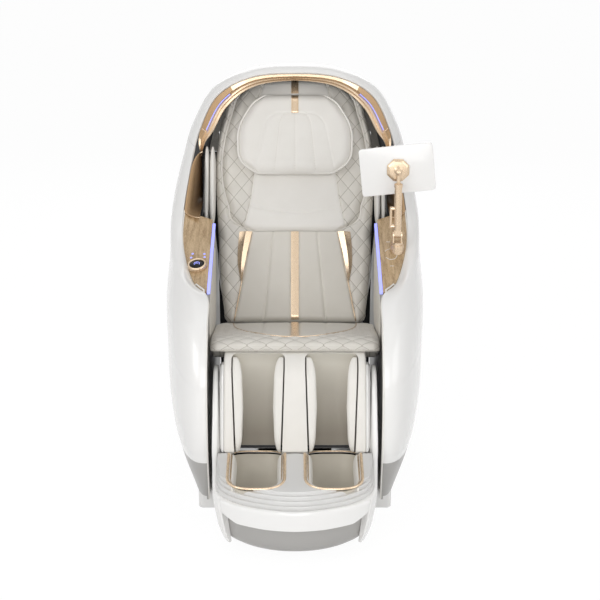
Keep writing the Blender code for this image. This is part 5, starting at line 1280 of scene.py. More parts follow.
@dataclass
class Backrest:
    """The quilted lower pad, the upper pad, the pillow, their piping, the gold fittings and the rear cover.

    Attributes:
        back: depth of the lower pad's back.
        front: depth of its face.
        shelf: depth of the part of it that the upper pad lies on.
        join: height at which the centre panel ends under the upper pad.
        nape: depth of the pillow's back.
        lower: half the lower pad's width over height.
        upper: half the upper pad's.
        pillow: half the pillow's.
        shield: half the upper pad's plain middle.
    """

    back: float = -0.050
    front: float = -0.098
    shelf: float = -0.060
    join: float = 0.3055
    nape: float = -0.1143
    lower: Callable = field(
        default_factory=lambda: curve(
            ((0.008, 0.215), (0.02, 0.226), (0.05, 0.231), (0.24, 0.248), (0.34, 0.254), (0.59, 0.2585))
            + ((0.70, 0.238), (0.76, 0.209), (0.77, 0.190))
        )
    )
    upper: Callable = field(
        default_factory=lambda: curve(
            ((0.3075, 0.138), (0.330, 0.186), (0.400, 0.220), (0.490, 0.240), (0.600, 0.236), (0.700, 0.212))
            + ((0.780, 0.180), (0.808, 0.150), (0.823, 0.105))
        )
    )
    pillow: Callable = field(
        default_factory=lambda: curve(
            ((0.492, 0.120), (0.51, 0.150), (0.60, 0.187), (0.70, 0.158), (0.742, 0.124), (0.757, 0.098))
        )
    )
    shield: Callable = field(
        default_factory=lambda: curve(
            ((0.31, 0.168), (0.33, 0.164), (0.39, 0.150), (0.49, 0.135), (0.757, 0.121), (0.823, 0.098))
        )
    )

    @staticmethod
    def panel(s: float) -> float:
        """Half the width of the lower pad's centre panel."""
        return float(np.interp(s, [0.0, 0.30], [0.199, 0.1437]))

    @staticmethod
    def arch(s: float) -> float:
        """Half the width of the pillow's arched panel."""
        return float(np.interp(s, [0.490, 0.655, 0.680, 0.690], [0.131, 0.098, 0.080, 0.058]))

    def seam(self, s: float) -> float:
        """Half the width between the quilted wings: the centre panel's, and above the join the upper pad's."""
        inner = self.panel(s) if s < self.join else self.upper(max(s, 0.3075)) + 0.003
        return min(inner, self.lower(s) - 0.012)

    def lower_front(self, x: float, s: float) -> float:
        """Depth of the lower pad's face at (x, s).

        Args:
            x: distance across from the middle.
            s: distance up the piece.

        Returns:
            The depth.
        """
        wide, seam = self.lower(s), self.seam(s)
        inside = s < self.join
        if not inside and abs(x) < seam - 0.0005:
            return self.shelf
        lift = roll(min(wide - abs(x), (s - 0.002) * 1.2, 0.778 - s), 0.030)
        depth = self.front
        if abs(x) >= seam:
            depth -= 0.0035 * quilt_puff(x, s)
            depth += 0.006 * groove(abs(x) - seam, 0.006)
        else:
            channel = seam * 0.505
            depth -= 0.006 * math.cos(min(abs(x) / seam, 1.0) * math.pi / 2) ** 0.5
            depth += 0.0035 * groove(abs(x) - channel, 0.0035) + 0.004 * groove(seam - abs(x), 0.004)
            depth += 0.003 * groove(abs(x) - STRIP_SEAM, 0.003)
        return self.back + (depth - self.back) * (0.30 + 0.70 * lift)

    def build(self) -> None:
        """Builds the backrest."""
        self.lower_pad()
        self.upper_pad()
        self.head_pillow()
        self.fittings()
        self.cover()

    def ring(self, s: float, half: list[float], depth: Callable, rear: float, wide: float) -> tuple[list, list]:
        """One closed ring across a pad at height s, and its places on the fabric.

        Args:
            s: distance up the piece.
            half: distances across on one side, from the middle out.
            depth: depth of the face over (x, s).
            rear: depth of the back.
            wide: half the width there.

        Returns:
            The points, and their places on the fabric.
        """
        points, marks = [], []
        for x in half[::-1] + [-x for x in half[1:]]:
            points.append(BACK.at(x, depth(x, s), s))
            marks.append((x, s))
        for c in (-1, -0.5, 0, 0.5, 1):
            points.append(BACK.at(c * (wide - 0.004), rear, s))
            marks.append((c * wide, s))
        return points, marks

    def lower_pad(self) -> None:
        """The quilted pad with its wings and its channelled centre panel."""
        rings, marks = [], []
        stations = list(dense(0.008, 0.3054, 66, 0.4)) + list(dense(0.3057, 0.77, 100, 0.4))
        shares = np.concatenate([np.linspace(0, 0.92, 26), 1 - 0.08 * (1 - np.linspace(0, 1, 9)) ** 2])
        for s in stations:
            wide, seam = self.lower(s), self.seam(s)
            half = list(np.linspace(0, seam - 0.001, 52)) + [seam + (wide - seam) * f for f in shares]
            points, spots = self.ring(s, half, self.lower_front, self.back, wide)
            rings.append(points)
            marks.append(spots)
        obj = MAKER.loft("lower_pad_quilt", rings, marks=marks)
        MAKER.coats(obj, QUILT, GREIGE, lambda x, s: s < self.join and x < self.panel(s))
        MAKER.done(obj, "backrest", QUILT, "cream_leather", ["lower_back_pad"], smooth=60)

    def upper_front(self, x: float, s: float) -> float:
        """Depth of the upper pad's face at (x, s).

        Args:
            x: distance across from the middle.
            s: distance up the piece.

        Returns:
            The depth.
        """
        wide = self.upper(s)
        lift = roll(min((wide - abs(x)) * 0.95, (s - 0.300), 0.830 - s), 0.030)
        depth = self.front - 0.003 - 0.010 * math.cos(min(abs(x) / wide, 1.0) * math.pi / 2)
        shield = self.shield(s)
        bow = 0.392 - 0.024 * (1 - min(abs(x) / shield, 1.0) ** 2)
        if abs(x) > shield:
            depth -= 0.003 * quilt_puff(x, s)
        else:
            depth += 0.0035 * groove(s - bow, 0.003)
        depth += 0.0035 * groove(abs(x) - shield, 0.0035)
        return self.shelf + (depth - self.shelf) * (0.30 + 0.70 * lift)

    def upper_pad(self) -> None:
        """The upper pad: quilted at its sides, plain in the middle, with a curved seam over its lower band."""
        rings, marks = [], []
        for s in dense(0.3075, 0.823, 130, 0.5):
            wide, shield = self.upper(s), min(self.shield(s), self.upper(s) - 0.006)
            inner = list(np.linspace(0, shield, 34))
            shares = np.concatenate([np.linspace(0.04, 0.9, 20), 1 - 0.1 * (1 - np.linspace(0.1, 1, 9)) ** 2])
            half = inner + [shield + (wide - shield) * f for f in shares]
            points, spots = self.ring(s, half, self.upper_front, self.shelf - 0.0003, wide)
            rings.append(points)
            marks.append(spots)
        obj = MAKER.loft("upper_pad_quilt", rings, marks=marks)
        MAKER.coats(obj, QUILT, CREAM, lambda x, s: x < self.shield(s))
        MAKER.done(obj, "backrest", QUILT, "pale_leather", ["upper_back_pad"], smooth=60)
        self.edge_piping("upper_piping", self.upper, 0.309, 0.8215, self.shelf, self.front - 0.003, "backrest")

    def edge_piping(
        self, name: str, half: Callable, low: float, high: float, rear: float, front: float, body: str
    ) -> None:
        """A cream bead sewn round a pad's outline.

        Args:
            name: name of the piece.
            half: half the pad's width over height.
            low: where it starts.
            high: where it ends.
            rear: depth of the back.
            front: depth of the front.
            body: the body that carries it.
        """
        depth = rear + (front - rear) * 0.62
        path = [BACK.at(half(s) + 0.0004, depth, s) for s in dense(low, high, 90, 0.8)]
        path += [BACK.at(-half(s) - 0.0004, depth, s) for s in dense(low, high, 90, 0.8)[::-1]]
        MAKER.done(MAKER.tube(name, path, 0.0036, closed=True), body, CREAM, "cream_leather", smooth=60)

    def pillow_front(self, x: float, s: float) -> float:
        """Depth of the pillow's face at (x, s).

        Args:
            x: distance across from the middle.
            s: distance up the piece.

        Returns:
            The depth.
        """
        wide, arch = self.pillow(s), self.arch(s)
        lift = roll(min((wide - abs(x)) * 0.95, (s - 0.487) * 0.75, 0.762 - s), 0.034)
        crown = 0.013 * math.cos(min(abs(x) / wide, 1.0) * math.pi / 2) * math.cos((s - 0.63) / 0.15)
        edge = max(abs(x) - arch, s - 0.690)
        depth = -0.034 - crown + 0.0025 * groove(edge, 0.0030)
        if edge < 0:
            for line in (0.0, arch * 0.52):
                depth += 0.0020 * groove(abs(x) - line, 0.0060)
        return self.nape + depth * (0.26 + 0.74 * lift)

    def head_pillow(self) -> None:
        """The head pillow: crowned, with an arched panel, three rows of stitches and piping."""
        rings, marks = [], []
        shares = np.concatenate([np.linspace(0, 0.86, 42), 1 - 0.14 * (1 - np.linspace(0.06, 1, 14)) ** 2])
        for s in dense(0.492, 0.757, 96, 0.7):
            wide = self.pillow(s)
            half = [wide * f for f in shares]
            points, spots = self.ring(s, half, self.pillow_front, self.nape, wide)
            rings.append(points)
            marks.append(spots)
        obj = MAKER.loft("pillow_cover", rings, marks=marks)
        MAKER.done(obj, "pillow", CREAM, "pale_leather", ["head_pillow"], smooth=60)
        self.edge_piping("pillow_piping", self.pillow, 0.4935, 0.7555, self.nape, -0.1483, "pillow")
        self.pillow_stitches()

    def pillow_stitches(self) -> None:
        """The three rows of stitches, as short threads."""
        made_so_far = 0
        for line in (-0.52, 0.0, 0.52):
            for s in np.arange(0.505, 0.685, 0.0085):
                x = line * self.arch(s)
                path = [BACK.at(x, self.pillow_front(x, s + d) - 0.0002, s + d) for d in (-0.0018, 0.0, 0.0018)]
                thread = MAKER.tube(f"pillow_stitch_{made_so_far:03d}", path, 0.0005)
                thread.data.materials.append(TAUPE.material())
                made_so_far += 1
        made = [obj for obj in bpy.data.objects if obj.name.startswith("pillow_stitch_")]
        MAKER.only(made[0])
        for obj in made:
            obj.select_set(True)
        bpy.ops.object.join()
        MAKER.done(bpy.context.active_object, "pillow", TAUPE, "pale_leather", smooth=60)

    def strap(self, name: str, low: float, high: float, depth: Callable, body: str, half: float = STRIP) -> None:
        """A ribbed champagne strap lying on a pad.

        Args:
            name: name of the piece.
            low: where it starts.
            high: where it ends.
            depth: depth of the pad under it over s.
            body: the body that carries it.
            half: half its width.
        """
        profile = [(-half, 0.0), (-half, 0.0030), (-half * 0.68, 0.0034), (-half * 0.60, 0.0018), (half * 0.60, 0.0018)]
        profile += [(half * 0.68, 0.0034), (half, 0.0030), (half, 0.0)]
        rings = []
        for s in np.linspace(low, high, 40):
            level = depth(0.006, s)
            rings.append([BACK.at(x, level - lift, s) for x, lift in profile])
        MAKER.done(MAKER.loft(name, rings), body, CHAMPAGNE, "champagne", smooth=30)

    def fittings(self) -> None:
        """The straps, the centre strip, the two blades and the gold piping."""
        self.strap("pillow_strap", 0.6905, 0.7540, self.pillow_front, "pillow", 0.0115)
        self.strap("upper_strap", 0.7715, 0.8215, self.upper_front, "backrest", 0.0120)
        rings = []
        for s in np.linspace(0.014, 0.3050, 60):
            level = self.lower_front(0.0, s)
            rings.append([BACK.at(x, level - d, s) for x, d in ridge(STRIP, -0.002, 0.0016, 0.0030)])
        MAKER.done(MAKER.loft("centre_strip", rings), "backrest", CHAMPAGNE, "champagne", smooth=30)
        outer = curve(((0.140, 0.1740), (0.17, 0.1822), (0.2275, 0.1868), (0.28, 0.1835), (0.3052, 0.1808)))
        inner = curve(((0.140, 0.1735), (0.2275, 0.1575), (0.3052, 0.1400)))
        for side in Side:
            rings = []
            for s in np.linspace(0.1405, 0.3050, 50):
                a, b = inner(s), outer(s)
                fold = a + (b - a) * 0.55
                level = self.front - 0.0035
                grow = min((s - 0.1405) / 0.02, 1.0)
                rows = [(a, 0.010), (a, -0.002 * grow), (a + (fold - a) * 0.9, -0.007 * grow), (fold, -0.0055 * grow)]
                rows += [(b, -0.001 * grow), (b, 0.010)]
                rings.append([BACK.at(side.value * x, level + d, s) for x, d in rows])
            MAKER.done(MAKER.loft(f"blade_{side.word}", rings), "backrest", CHAMPAGNE, "champagne", smooth=30)
            path = []
            for s in np.linspace(0.012, 0.142, 40):
                x = self.panel(s)
                path.append(BACK.at(side.value * x, self.lower_front(x - 0.002, s) - 0.0012, s))
            MAKER.done(MAKER.tube(f"panel_piping_{side.word}", path, 0.0018), "backrest", CHAMPAGNE, "champagne")

    def cover(self) -> None:
        """The rear cover of the backrest."""
        rows = []
        for s in dense(0.032, 0.81, 60, 0.5):
            half = 0.2505 if s < 0.65 else min(0.2505, self.lower(min(s, 0.74)) - 0.006)
            half = min(half, self.lower(s) - 0.004 + 0.10 * max(0.0, s - 0.05))
            if s > 0.74:
                half = float(np.interp(s, [0.74, 0.78, 0.80, 0.81], [half, 0.200, 0.178, 0.165]))
            sag = float(np.interp(s, [0.76, 0.80, 0.81], [0.0, 0.030, 0.055]))
            edge = self.back + 0.0003
            row = []
            for c in np.sin(np.linspace(-math.pi / 2, math.pi / 2, 61)):
                row.append(BACK.at(c * half, 0.088 - sag - (0.088 - sag - edge) * abs(c) ** 7, s))
            rows.append(row)
        obj = MAKER.skin("rear_cover", rows, tuple(BACK.at(0, -0.2, 0.4)), 0.005, 0.001)
        MAKER.done(obj, "backrest", WHITE, "gloss_white", ["back_cover"])


@dataclass
class Seat:
    """The seat cushion, its quilted border and its gold arc.

    Attributes:
        half: half the cushion's width.
        arc: half the width of the plain middle, inside the gold arc.
    """

    half: float = 0.250
    arc: float = 0.196

    def __post_init__(self) -> None:
        """Draws the cushion's side view: the line of its top and the line under it."""
        top = [(0.130, 0.441), (0.10, 0.451), (0.0, 0.474), (-0.10, 0.498), (-0.18, 0.518), (-0.235, 0.530)]
        top += [(-0.275, 0.533), (-0.302, 0.527), (-0.317, 0.516)]
        knee = np.radians(np.linspace(101, 22, 10))
        under = [(-0.295 + 0.090 * math.cos(a), 0.415 + 0.090 * math.sin(a)) for a in knee]
        under += [(-0.195, self.bottom(-0.195)), (-0.10, self.bottom(-0.10)), (0.0, self.bottom(0.0))]
        under += [(0.10, self.bottom(0.10)), (0.134, self.bottom(0.10) + 0.006), (0.136, 0.410)]
        ys, zs = curve([(k, p[0]) for k, p in enumerate(top)]), curve([(k, p[1]) for k, p in enumerate(top)])
        self.top_line = [(ys(k), zs(k)) for k in np.linspace(0, len(top) - 1, 90)]
        self.under_line = under

    @staticmethod
    def bottom(y: float) -> float:
        """Height of the cushion's underside."""
        return 0.441 - 0.072 + 0.23 * (0.134 - y)

    def height(self, y: float) -> float:
        """Height of the cushion's top over y, on its middle line."""
        line = sorted(self.top_line[:75])
        return float(np.interp(y, [p[0] for p in line], [p[1] for p in line]))

    def arc_y(self, x: float) -> float:
        """Where the gold arc crosses x."""
        return 0.105 - 0.375 * max(0.0, 1 - (abs(x) / self.arc) ** 2.6) ** 0.55

    def build(self) -> None:
        """Builds the cushion, the arc and the strip."""
        middle = (-0.08, 0.465)
        lengths = np.cumsum([0.0] + [math.dist(a, b) for a, b in zip(self.top_line, self.top_line[1:])])
        rings, marks = [], []
        for share in dense(-1.0, 1.0, 120, 0.55):
            edge = (1 - abs(share)) * self.half
            size = 0.72 + 0.28 * roll(edge, 0.022)
            crown = 0.006 * (1 - share**2)
            ring, spots = [], []
            x = share * self.half
            for k, (y, z) in enumerate(self.top_line + self.under_line):
                on_top = k < len(self.top_line)
                draw_y = middle[0] + (y - middle[0]) * (0.4 + 0.6 * size)
                draw_z = middle[1] + (z - middle[1]) * size
                lift = crown if k < len(self.top_line) - 8 else 0.0
                place = lengths[k] if on_top else 0.0
                if on_top:
                    border = self.arc_y(x) - y
                    if border > 0 or abs(x) > self.arc:
                        lift += 0.0030 * quilt_puff(x, place, BORDER_QUILT.stitch) * min(1.0, (k + 1) / 8)
                    else:
                        lift -= 0.003 * groove(abs(x) - STRIP_SEAM, 0.003) + 0.003 * groove(abs(x) - 0.098, 0.004)
                ring.append((x, draw_y, draw_z + lift - (0.006 if draw_z > middle[1] + 0.04 or on_top else 0.0)))
                spots.append((x, place))
            rings.append(ring)
            marks.append(spots)
        obj = MAKER.loft("seat_cushion", rings, marks=marks)
        for finish in (GREIGE, BORDER_QUILT):
            obj.data.materials.append(finish.material())
        for face in obj.data.polygons:
            centre = face.center
            if centre.z > 0.43 and (self.arc_y(centre.x) > centre.y or abs(centre.x) > self.arc):
                face.material_index = 1
        MAKER.done(obj, "seat", GREIGE, "cream_leather", ["seat_pad"], smooth=60)
        path = []
        for x in np.sin(np.linspace(-math.pi / 2, math.pi / 2, 80)) * self.arc:
            y = self.arc_y(x)
            path.append((x, y, self.height(y) - 0.0045 + 0.006 * (1 - (x / self.half) ** 2)))
        MAKER.done(MAKER.tube("seat_arc", path, 0.0019), "seat", CHAMPAGNE, "champagne")
        rings = []
        for y in np.linspace(0.115, self.arc_y(0.0) + 0.003, 40):
            z = self.height(y) + 0.0005
            rings.append([(x, y, z + d) for x, d in ridge(STRIP, -0.003, 0.0008, 0.0020)])
        MAKER.done(MAKER.loft("seat_strip", rings), "seat", CHAMPAGNE, "champagne", smooth=30)


@dataclass
class Calf:
    """The calf unit: its padded front with two wells, its white sides and its airbags.

    Attributes:
        front: depth of the padded front.
        rear: depth of the unit's back.
        bottom: height of its foot.
        outer: half its width.
        knee: radius of its rounded top.
        lining: depth that the wells are cut to.
    """

    front: float = -0.084
    rear: float = 0.0545
    bottom: float = -0.213
    outer: float = 0.2062
    knee: float = 0.084
    lining: float = 0.0440

    def outline(self, grow: float) -> list:
        """The unit's side view.

        Args:
            grow: how far outside the outline.

        Returns:
            The outline's points.
        """
        radius = self.knee + grow
        arc = [(radius * math.cos(a), radius * math.sin(a)) for a in np.radians(np.linspace(180, 52, 30))]
        return [(self.rear, self.bottom), (self.front - grow, self.bottom)] + arc + [(self.rear, 0.030)]

    def sides(self, s: float) -> tuple[float, float]:
        """The inner and outer x of a well's opening at height s."""
        share = min(max((0.03 - s) / 0.243, 0.0), 1.0)
        return 0.0293 + 0.0085 * share, 0.1850 - 0.0095 * share

    def opening(self, side: Side) -> list:
        """A well's opening, wider at the knee and round in its two upper corners.

        Args:
            side: the side of the chair.

        Returns:
            The opening's points.
        """
        top, corner = 0.0735, 0.016
        inner, outer = self.sides(top)
        low_in, low_out = self.sides(self.bottom - 0.02)
        points = [(low_in, self.bottom - 0.02), (low_out, self.bottom - 0.02), (self.sides(0.03)[1], 0.03)]
        for centre, start in ((outer - corner, 0), (inner + corner, 90)):
            for k in range(9):
                turn = math.radians(start + 90 * k / 8)
                points.append((centre + corner * math.cos(turn), top - corner + corner * math.sin(turn)))
        points.append((self.sides(0.03)[0], 0.03))
        return [(side.value * x, s) for x, s in points]

    def build(self) -> None:
        """Builds the unit."""
        rings = [[LEG.at(x, y, s) for y, s in self.outline(0.0012)] for x in (-self.outer, self.outer)]
        body = MAKER.loft("calf_cover", rings)
        MAKER.bevel(body, 0.007, 60, 4)
        for side in Side:
            MAKER.cut(body, [[LEG.at(x, y, s) for x, s in self.opening(side)] for y in (-0.2, self.lining)])
        MAKER.bevel(body, 0.0025, 50)
        MAKER.done(body, "legrest", CREAM, "cream_leather", ["calf_frame"], smooth=40)
        for side in Side:
            self.flank(side)
            self.well(side)
            for way in (-1, 1):
                self.airbag(side, way)

    def flank(self, side: Side) -> None:
        """The white plate on the unit's side, chamfered at its front and foot.

        Args:
            side: the side of the chair.
        """
        rows = [(-0.081, -0.213), (-0.081, 0.010), (-0.066, 0.042), (-0.034, 0.050), (-0.030, 0.045), (-0.030, -0.213)]
        rings = []
        for depth, pull in ((0.2065, 0.0), (0.2130, 0.002), (0.2190, 0.014)):
            ring = []
            for y, s in rows:
                y2 = y + pull if y < -0.05 else y
                s2 = s + pull * 1.2 if s < 0 else s - pull * 0.6
                ring.append(LEG.at(side.value * depth, y2, s2))
            rings.append(ring)
        obj = MAKER.loft(f"calf_flank_{side.word}", rings)
        MAKER.bevel(obj, 0.002, 20)
        MAKER.done(obj, "legrest", WHITE, "gloss_white", smooth=35)

    def depth(self, s: float) -> float:
        """How deep the well's lining lies at height s: it slopes in under the knee and then runs down."""
        slope = ((-0.213, 0.0400), (-0.12, 0.0385), (-0.04, 0.032), (0.02, 0.012), (0.055, -0.012), (0.074, -0.036))
        return curve(slope)(s)

    def well(self, side: Side) -> None:
        """A well's lining, with painted shade darker towards its foot, and a dark strip between it and the frame that
        is painted shade for the gap there.

        Args:
            side: the side of the chair.
        """
        inner, outer = 0.0300, 0.1895
        middle, half = (inner + outer) / 2, (outer - inner) / 2
        # The lining's finish paints shade that darkens towards the well's foot.
        for word, low, high, finish in (("lining", -0.2035, 0.0745, LINING), ("seal", -0.2122, -0.2037, DARK)):
            rows = []
            for s in np.linspace(low, high, 40 if word == "lining" else 4):
                row = []
                for c in np.linspace(-1, 1, 30):
                    row.append(LEG.at(side.value * (middle + c * half), self.depth(s) + 0.004 * (1 - c * c), s))
                rows.append(row)
            obj = MAKER.skin(f"calf_{word}_{side.word}", rows, tuple(LEG.at(side.value * 0.11, 0.3, -0.1)), 0.003, 0.0)
            # The dark strip is painted shade for the gap under the lining.
            slot = "cream_leather" if word == "lining" else "rubber"
            MAKER.done(obj, "legrest", finish, slot, smooth=60)

    def airbag(self, side: Side, way: int) -> None:
        """One airbag of a well: a leaf-shaped cushion standing off the frame by a dark gap.

        Args:
            side: the side of the chair.
            way: 1 for the outer one of the well, -1 for the inner one.
        """
        rings = []
        for s in dense(self.bottom + 0.0006, 0.062, 60, 0.8):
            inner, outer = self.sides(s)
            wall = (outer if way > 0 else inner) - way * 0.0042
            end = roll(min(s - self.bottom, (0.064 - s) * 0.8), 0.050)
            swell = (0.007 + 0.0205 * end) * float(np.interp(s, [self.bottom, -0.08], [0.62, 1.0]))
            front = self.front + 0.0035 + 0.020 * (1 - end) + max(0.0, s) * 0.30
            back = min(self.depth(s) + 0.002, 0.038)
            ring = []
            for k in range(28):
                share = k / 27
                y = front + (back - front) * share**1.2
                bulge = swell * roll(share + 0.02, 0.16) ** 0.8 * (1 - 0.25 * share)
                ring.append(LEG.at(side.value * (wall - way * max(bulge, 0.0008)), y, s))
            ring.append(LEG.at(side.value * wall, back, s))
            ring.append(LEG.at(side.value * wall, front + 0.001, s))
            rings.append(ring)
        word = "outer" if way > 0 else "inner"
        obj = MAKER.loft(f"calf_airbag_{word}_{side.word}", rings)
        replaced = [f"calf_pad_{side.word}"] if word == "inner" else []
        MAKER.done(obj, "legrest", CREAM, "cream_leather", replaced, smooth=60)


@dataclass
class Foot:
    """The foot unit: the white housing with its wings, the deck with its ridges and wells, the rims and the base.

    Attributes:
        half: half the unit's width.
        wall: thickness of the housing.
        front: how far forward it reaches.
        rear: where the wings end.
        deck_rear: where the deck ends.
        corner: depth of its rounded front.
        wing_edge: the place round the outline where a wing leaves the front.
        well_x: how far from the middle a well lies.
        well_y: how far along it lies.
    """

    half: float = 0.2415
    wall: float = 0.018
    front: float = -0.690
    rear: float = -0.270
    deck_rear: float = -0.335
    corner: float = 0.105
    wing_edge: float = 0.430
    well_x: float = 0.1095
    well_y: float = -0.488

    def plan(self, t: float, grow: float = 0.0) -> tuple[float, float]:
        """A point on the unit's outline from above, for t from -1 to 1.

        Args:
            t: place round the outline, from -1 to 1.
            grow: how far outside the outline.

        Returns:
            The point.
        """
        half, front = self.half + grow, self.front - grow
        side, share = (math.copysign(1.0, t) if t else 1.0), abs(t)
        turn_end = front + self.corner
        if share > 0.55:
            return side * half, turn_end + (self.rear - turn_end) * (share - 0.55) / 0.45
        angle = share / 0.55 * math.pi / 2
        flat = half - 0.150
        x = flat * math.sin(angle) ** 2 + 0.150 * math.sin(angle)
        return side * min(x, half), front + self.corner * (1 - math.cos(angle) ** 0.9)

    @staticmethod
    def wing(y: float) -> float:
        """Height of the housing's upper edge.

        Args:
            y: distance along, the rear positive.

        Returns:
            The height.
        """
        table = ((-0.69, 0.168), (-0.62, 0.182), (-0.55, 0.208), (-0.50, 0.228), (-0.45, 0.262), (-0.42, 0.320))
        table += ((-0.385, 0.395), (-0.35, 0.440), (-0.315, 0.456), (-0.285, 0.448), (-0.270, 0.425))
        return curve(table)(y)

    @staticmethod
    def deck(y: float) -> float:
        """Height of the deck."""
        return float(np.interp(y, [-0.70, -0.66, -0.452, -0.438, -0.33], [0.203, 0.208, 0.2420, 0.2305, 0.1965]))

    def build(self) -> None:
        """Builds the unit."""
        self.housing()
        self.deck_body()
        self.base()
        for side in Side:
            self.rim(side)

    @staticmethod
    def draw_in(z: float) -> float:
        """The share of its width that the unit keeps at height z: it narrows towards the floor."""
        return 1 - 0.135 * (min(max((0.245 - z) / 0.205, 0.0), 1.0)) ** 1.15

    def foot_of_wall(self, t: float) -> float:
        """Height of the housing's lower edge: high over the grey band in front, down to the floor at the wings.

        Args:
            t: place round the outline, from -1 to 1.

        Returns:
            The height.
        """
        share = abs(t)
        front = float(np.interp(share, [0.0, 0.17, 0.32, self.wing_edge - 0.012], [0.112, 0.1125, 0.118, 0.143]))
        wing = float(np.interp(share, [self.wing_edge, 0.60, 0.85, 1.0], [0.040, 0.046, 0.060, 0.110]))
        return front + (wing - front) * float(np.interp(share, [self.wing_edge - 0.012, self.wing_edge], [0, 1]))

    def turns(self) -> list:
        """Stations round the outline, close together where a wing leaves the front.

        Returns:
            The stations.
        """
        edge = self.wing_edge
        half = list(np.linspace(0, edge - 0.016, 34)) + list(np.linspace(edge - 0.014, edge + 0.010, 14))
        half += list(np.linspace(edge + 0.018, 1.0, 62))
        return [-t for t in reversed(half)] + half[1:]

    def housing(self) -> None:
        """The white housing, its upper edge rounded, and a fine groove where each wing leaves the front."""
        rings = []
        for t in self.turns():
            x, y = self.plan(t)
            xi, yi = self.plan(t, -self.wall)
            top, bottom = self.wing(y), self.foot_of_wall(t)
            line = 0.0022 * groove(abs(t) - self.wing_edge + 0.006, 0.005)
            ring = []
            for share in np.linspace(0.0, 0.97, 20):
                height = bottom + (top - bottom) * share
                tuck = 0.010 * max(0.0, (0.10 - height) / 0.06) ** 1.6
                round_top = 0.0035 * max(0.0, (share - 0.75) / 0.25) ** 2
                px, py = self.plan(t, -tuck - line - round_top)
                ring.append((px * self.draw_in(height), py, height))
            for k in range(1, 8):
                turn = math.pi * k / 8
                mix = 0.2 + 0.8 * (0.5 - 0.5 * math.cos(turn))
                px = (x + (xi - x) * mix) * self.draw_in(top)
                ring.append((px, y + (yi - y) * mix, top - 0.005 + 0.005 * math.sin(turn)))
            ring.append((xi * self.draw_in(top), yi, top - 0.008))
            ring.append((xi * self.draw_in(bottom), yi, bottom))
            rings.append(ring)
        obj = MAKER.loft("foot_housing", rings)
        MAKER.done(obj, "foot", WHITE, "gloss_white", ["foot_shell"], smooth=40)

    def deck_body(self) -> None:
        """The deck: four stepped ridges round its front, and two openings for the feet."""
        last = 0.55 + 0.45 * (self.deck_rear - (self.front + self.corner)) / (self.rear - (self.front + self.corner))
        steps = 4
        rows = []
        for t in np.linspace(-last, last, 160):
            fade = 1 - float(np.interp(abs(t), [0.36, 0.50, 0.66], [0.0, 0.45, 1.0]))
            run, start = 0.029 * fade + 0.002, 0.0188
            edge = self.plan(t, -start)
            low = max(self.wing(edge[1]) - 0.004, 0.150)
            high = self.deck(self.plan(t, -start - run)[1]) + 0.0015
            low = min(low, high - 0.002)
            row = [(*edge, low - 0.012), (*edge, low)]
            for k in range(steps):
                for part, rise in ((0.06, 0.62), (0.22, 0.86), (0.60, 0.94), (0.90, 0.97), (1.0, 0.94)):
                    inset = start + run * (k + part) / steps
                    row.append((*self.plan(t, -inset), low + (high - low) * (k + rise) / steps))
            ex, ey = row[-1][0], row[-1][1]
            for r in np.linspace(0.02, 1.0, 40):
                px, py = ex * (1 - r), ey * (1 - r) + self.deck_rear * r
                row.append((px, py, self.deck(py) + 0.0015 * (1 - r)))
            rows.append(row)
        obj = MAKER.skin("foot_deck_top", rows, (0.0, -0.5, -0.3), 0.004, 0.0)
        for side in Side:
            opening = rounded(0.0745, 0.138, 0.055, 12, (side.value * self.well_x, self.well_y))
            MAKER.cut(obj, [[(a, b, z) for a, b in opening] for z in (0.02, 0.40)])
        MAKER.done(obj, "foot", PALE_GREY, "grey_light", ["foot_deck"], smooth=30)
        for side in Side:
            self.well(side)
            self.heel_arc(side)
            for way in (-1, 1):
                self.airbag(side, way)

    def well(self, side: Side) -> None:
        """The padded lining of a foot well.

        Args:
            side: the side of the chair.
        """
        opening = rounded(0.0742, 0.1377, 0.055, 12, (side.value * self.well_x, self.well_y))
        centre = (side.value * self.well_x, -0.491)
        rings = []
        # How far down the wall, how far in from the opening, and how far in under the toes or the heel.
        wall = ((0.0085, 0.0, 0.0), (0.020, 0.003, 0.006), (0.050, 0.006, 0.020))
        wall += ((0.075, 0.010, 0.034), (0.090, 0.020, 0.044), (0.096, 0.040, 0.048))
        floor = 0.1125
        for sink, pull, heel in wall:
            ring = []
            for a, b in opening:
                length = math.hypot(a - centre[0], b - centre[1])
                share = 1 - pull / length
                x, y = centre[0] + (a - centre[0]) * share, centre[1] + (b - centre[1]) * share
                toe = max(0.0, (b - centre[1]) / 0.14)
                rim = self.deck(b)
                ring.append((x, y - heel * toe, rim - (rim - floor) * sink / 0.096))
            rings.append(ring)
        rows = rings + [[(centre[0], centre[1] - 0.02, floor)] * len(opening)]
        rows = [row + [row[0]] for row in rows]
        obj = MAKER.loft(f"foot_well_{side.word}", rows, wrap=False)
        MAKER.edit(
            obj,
            lambda: bpy.ops.mesh.remove_doubles(threshold=0.00001),
            lambda: bpy.ops.mesh.normals_make_consistent(inside=True),
        )
        MAKER.modifier(obj, "SOLIDIFY", thickness=0.002, offset=-1.0)
        MAKER.done(obj, "foot", TAUPE, "cream_leather", smooth=60)

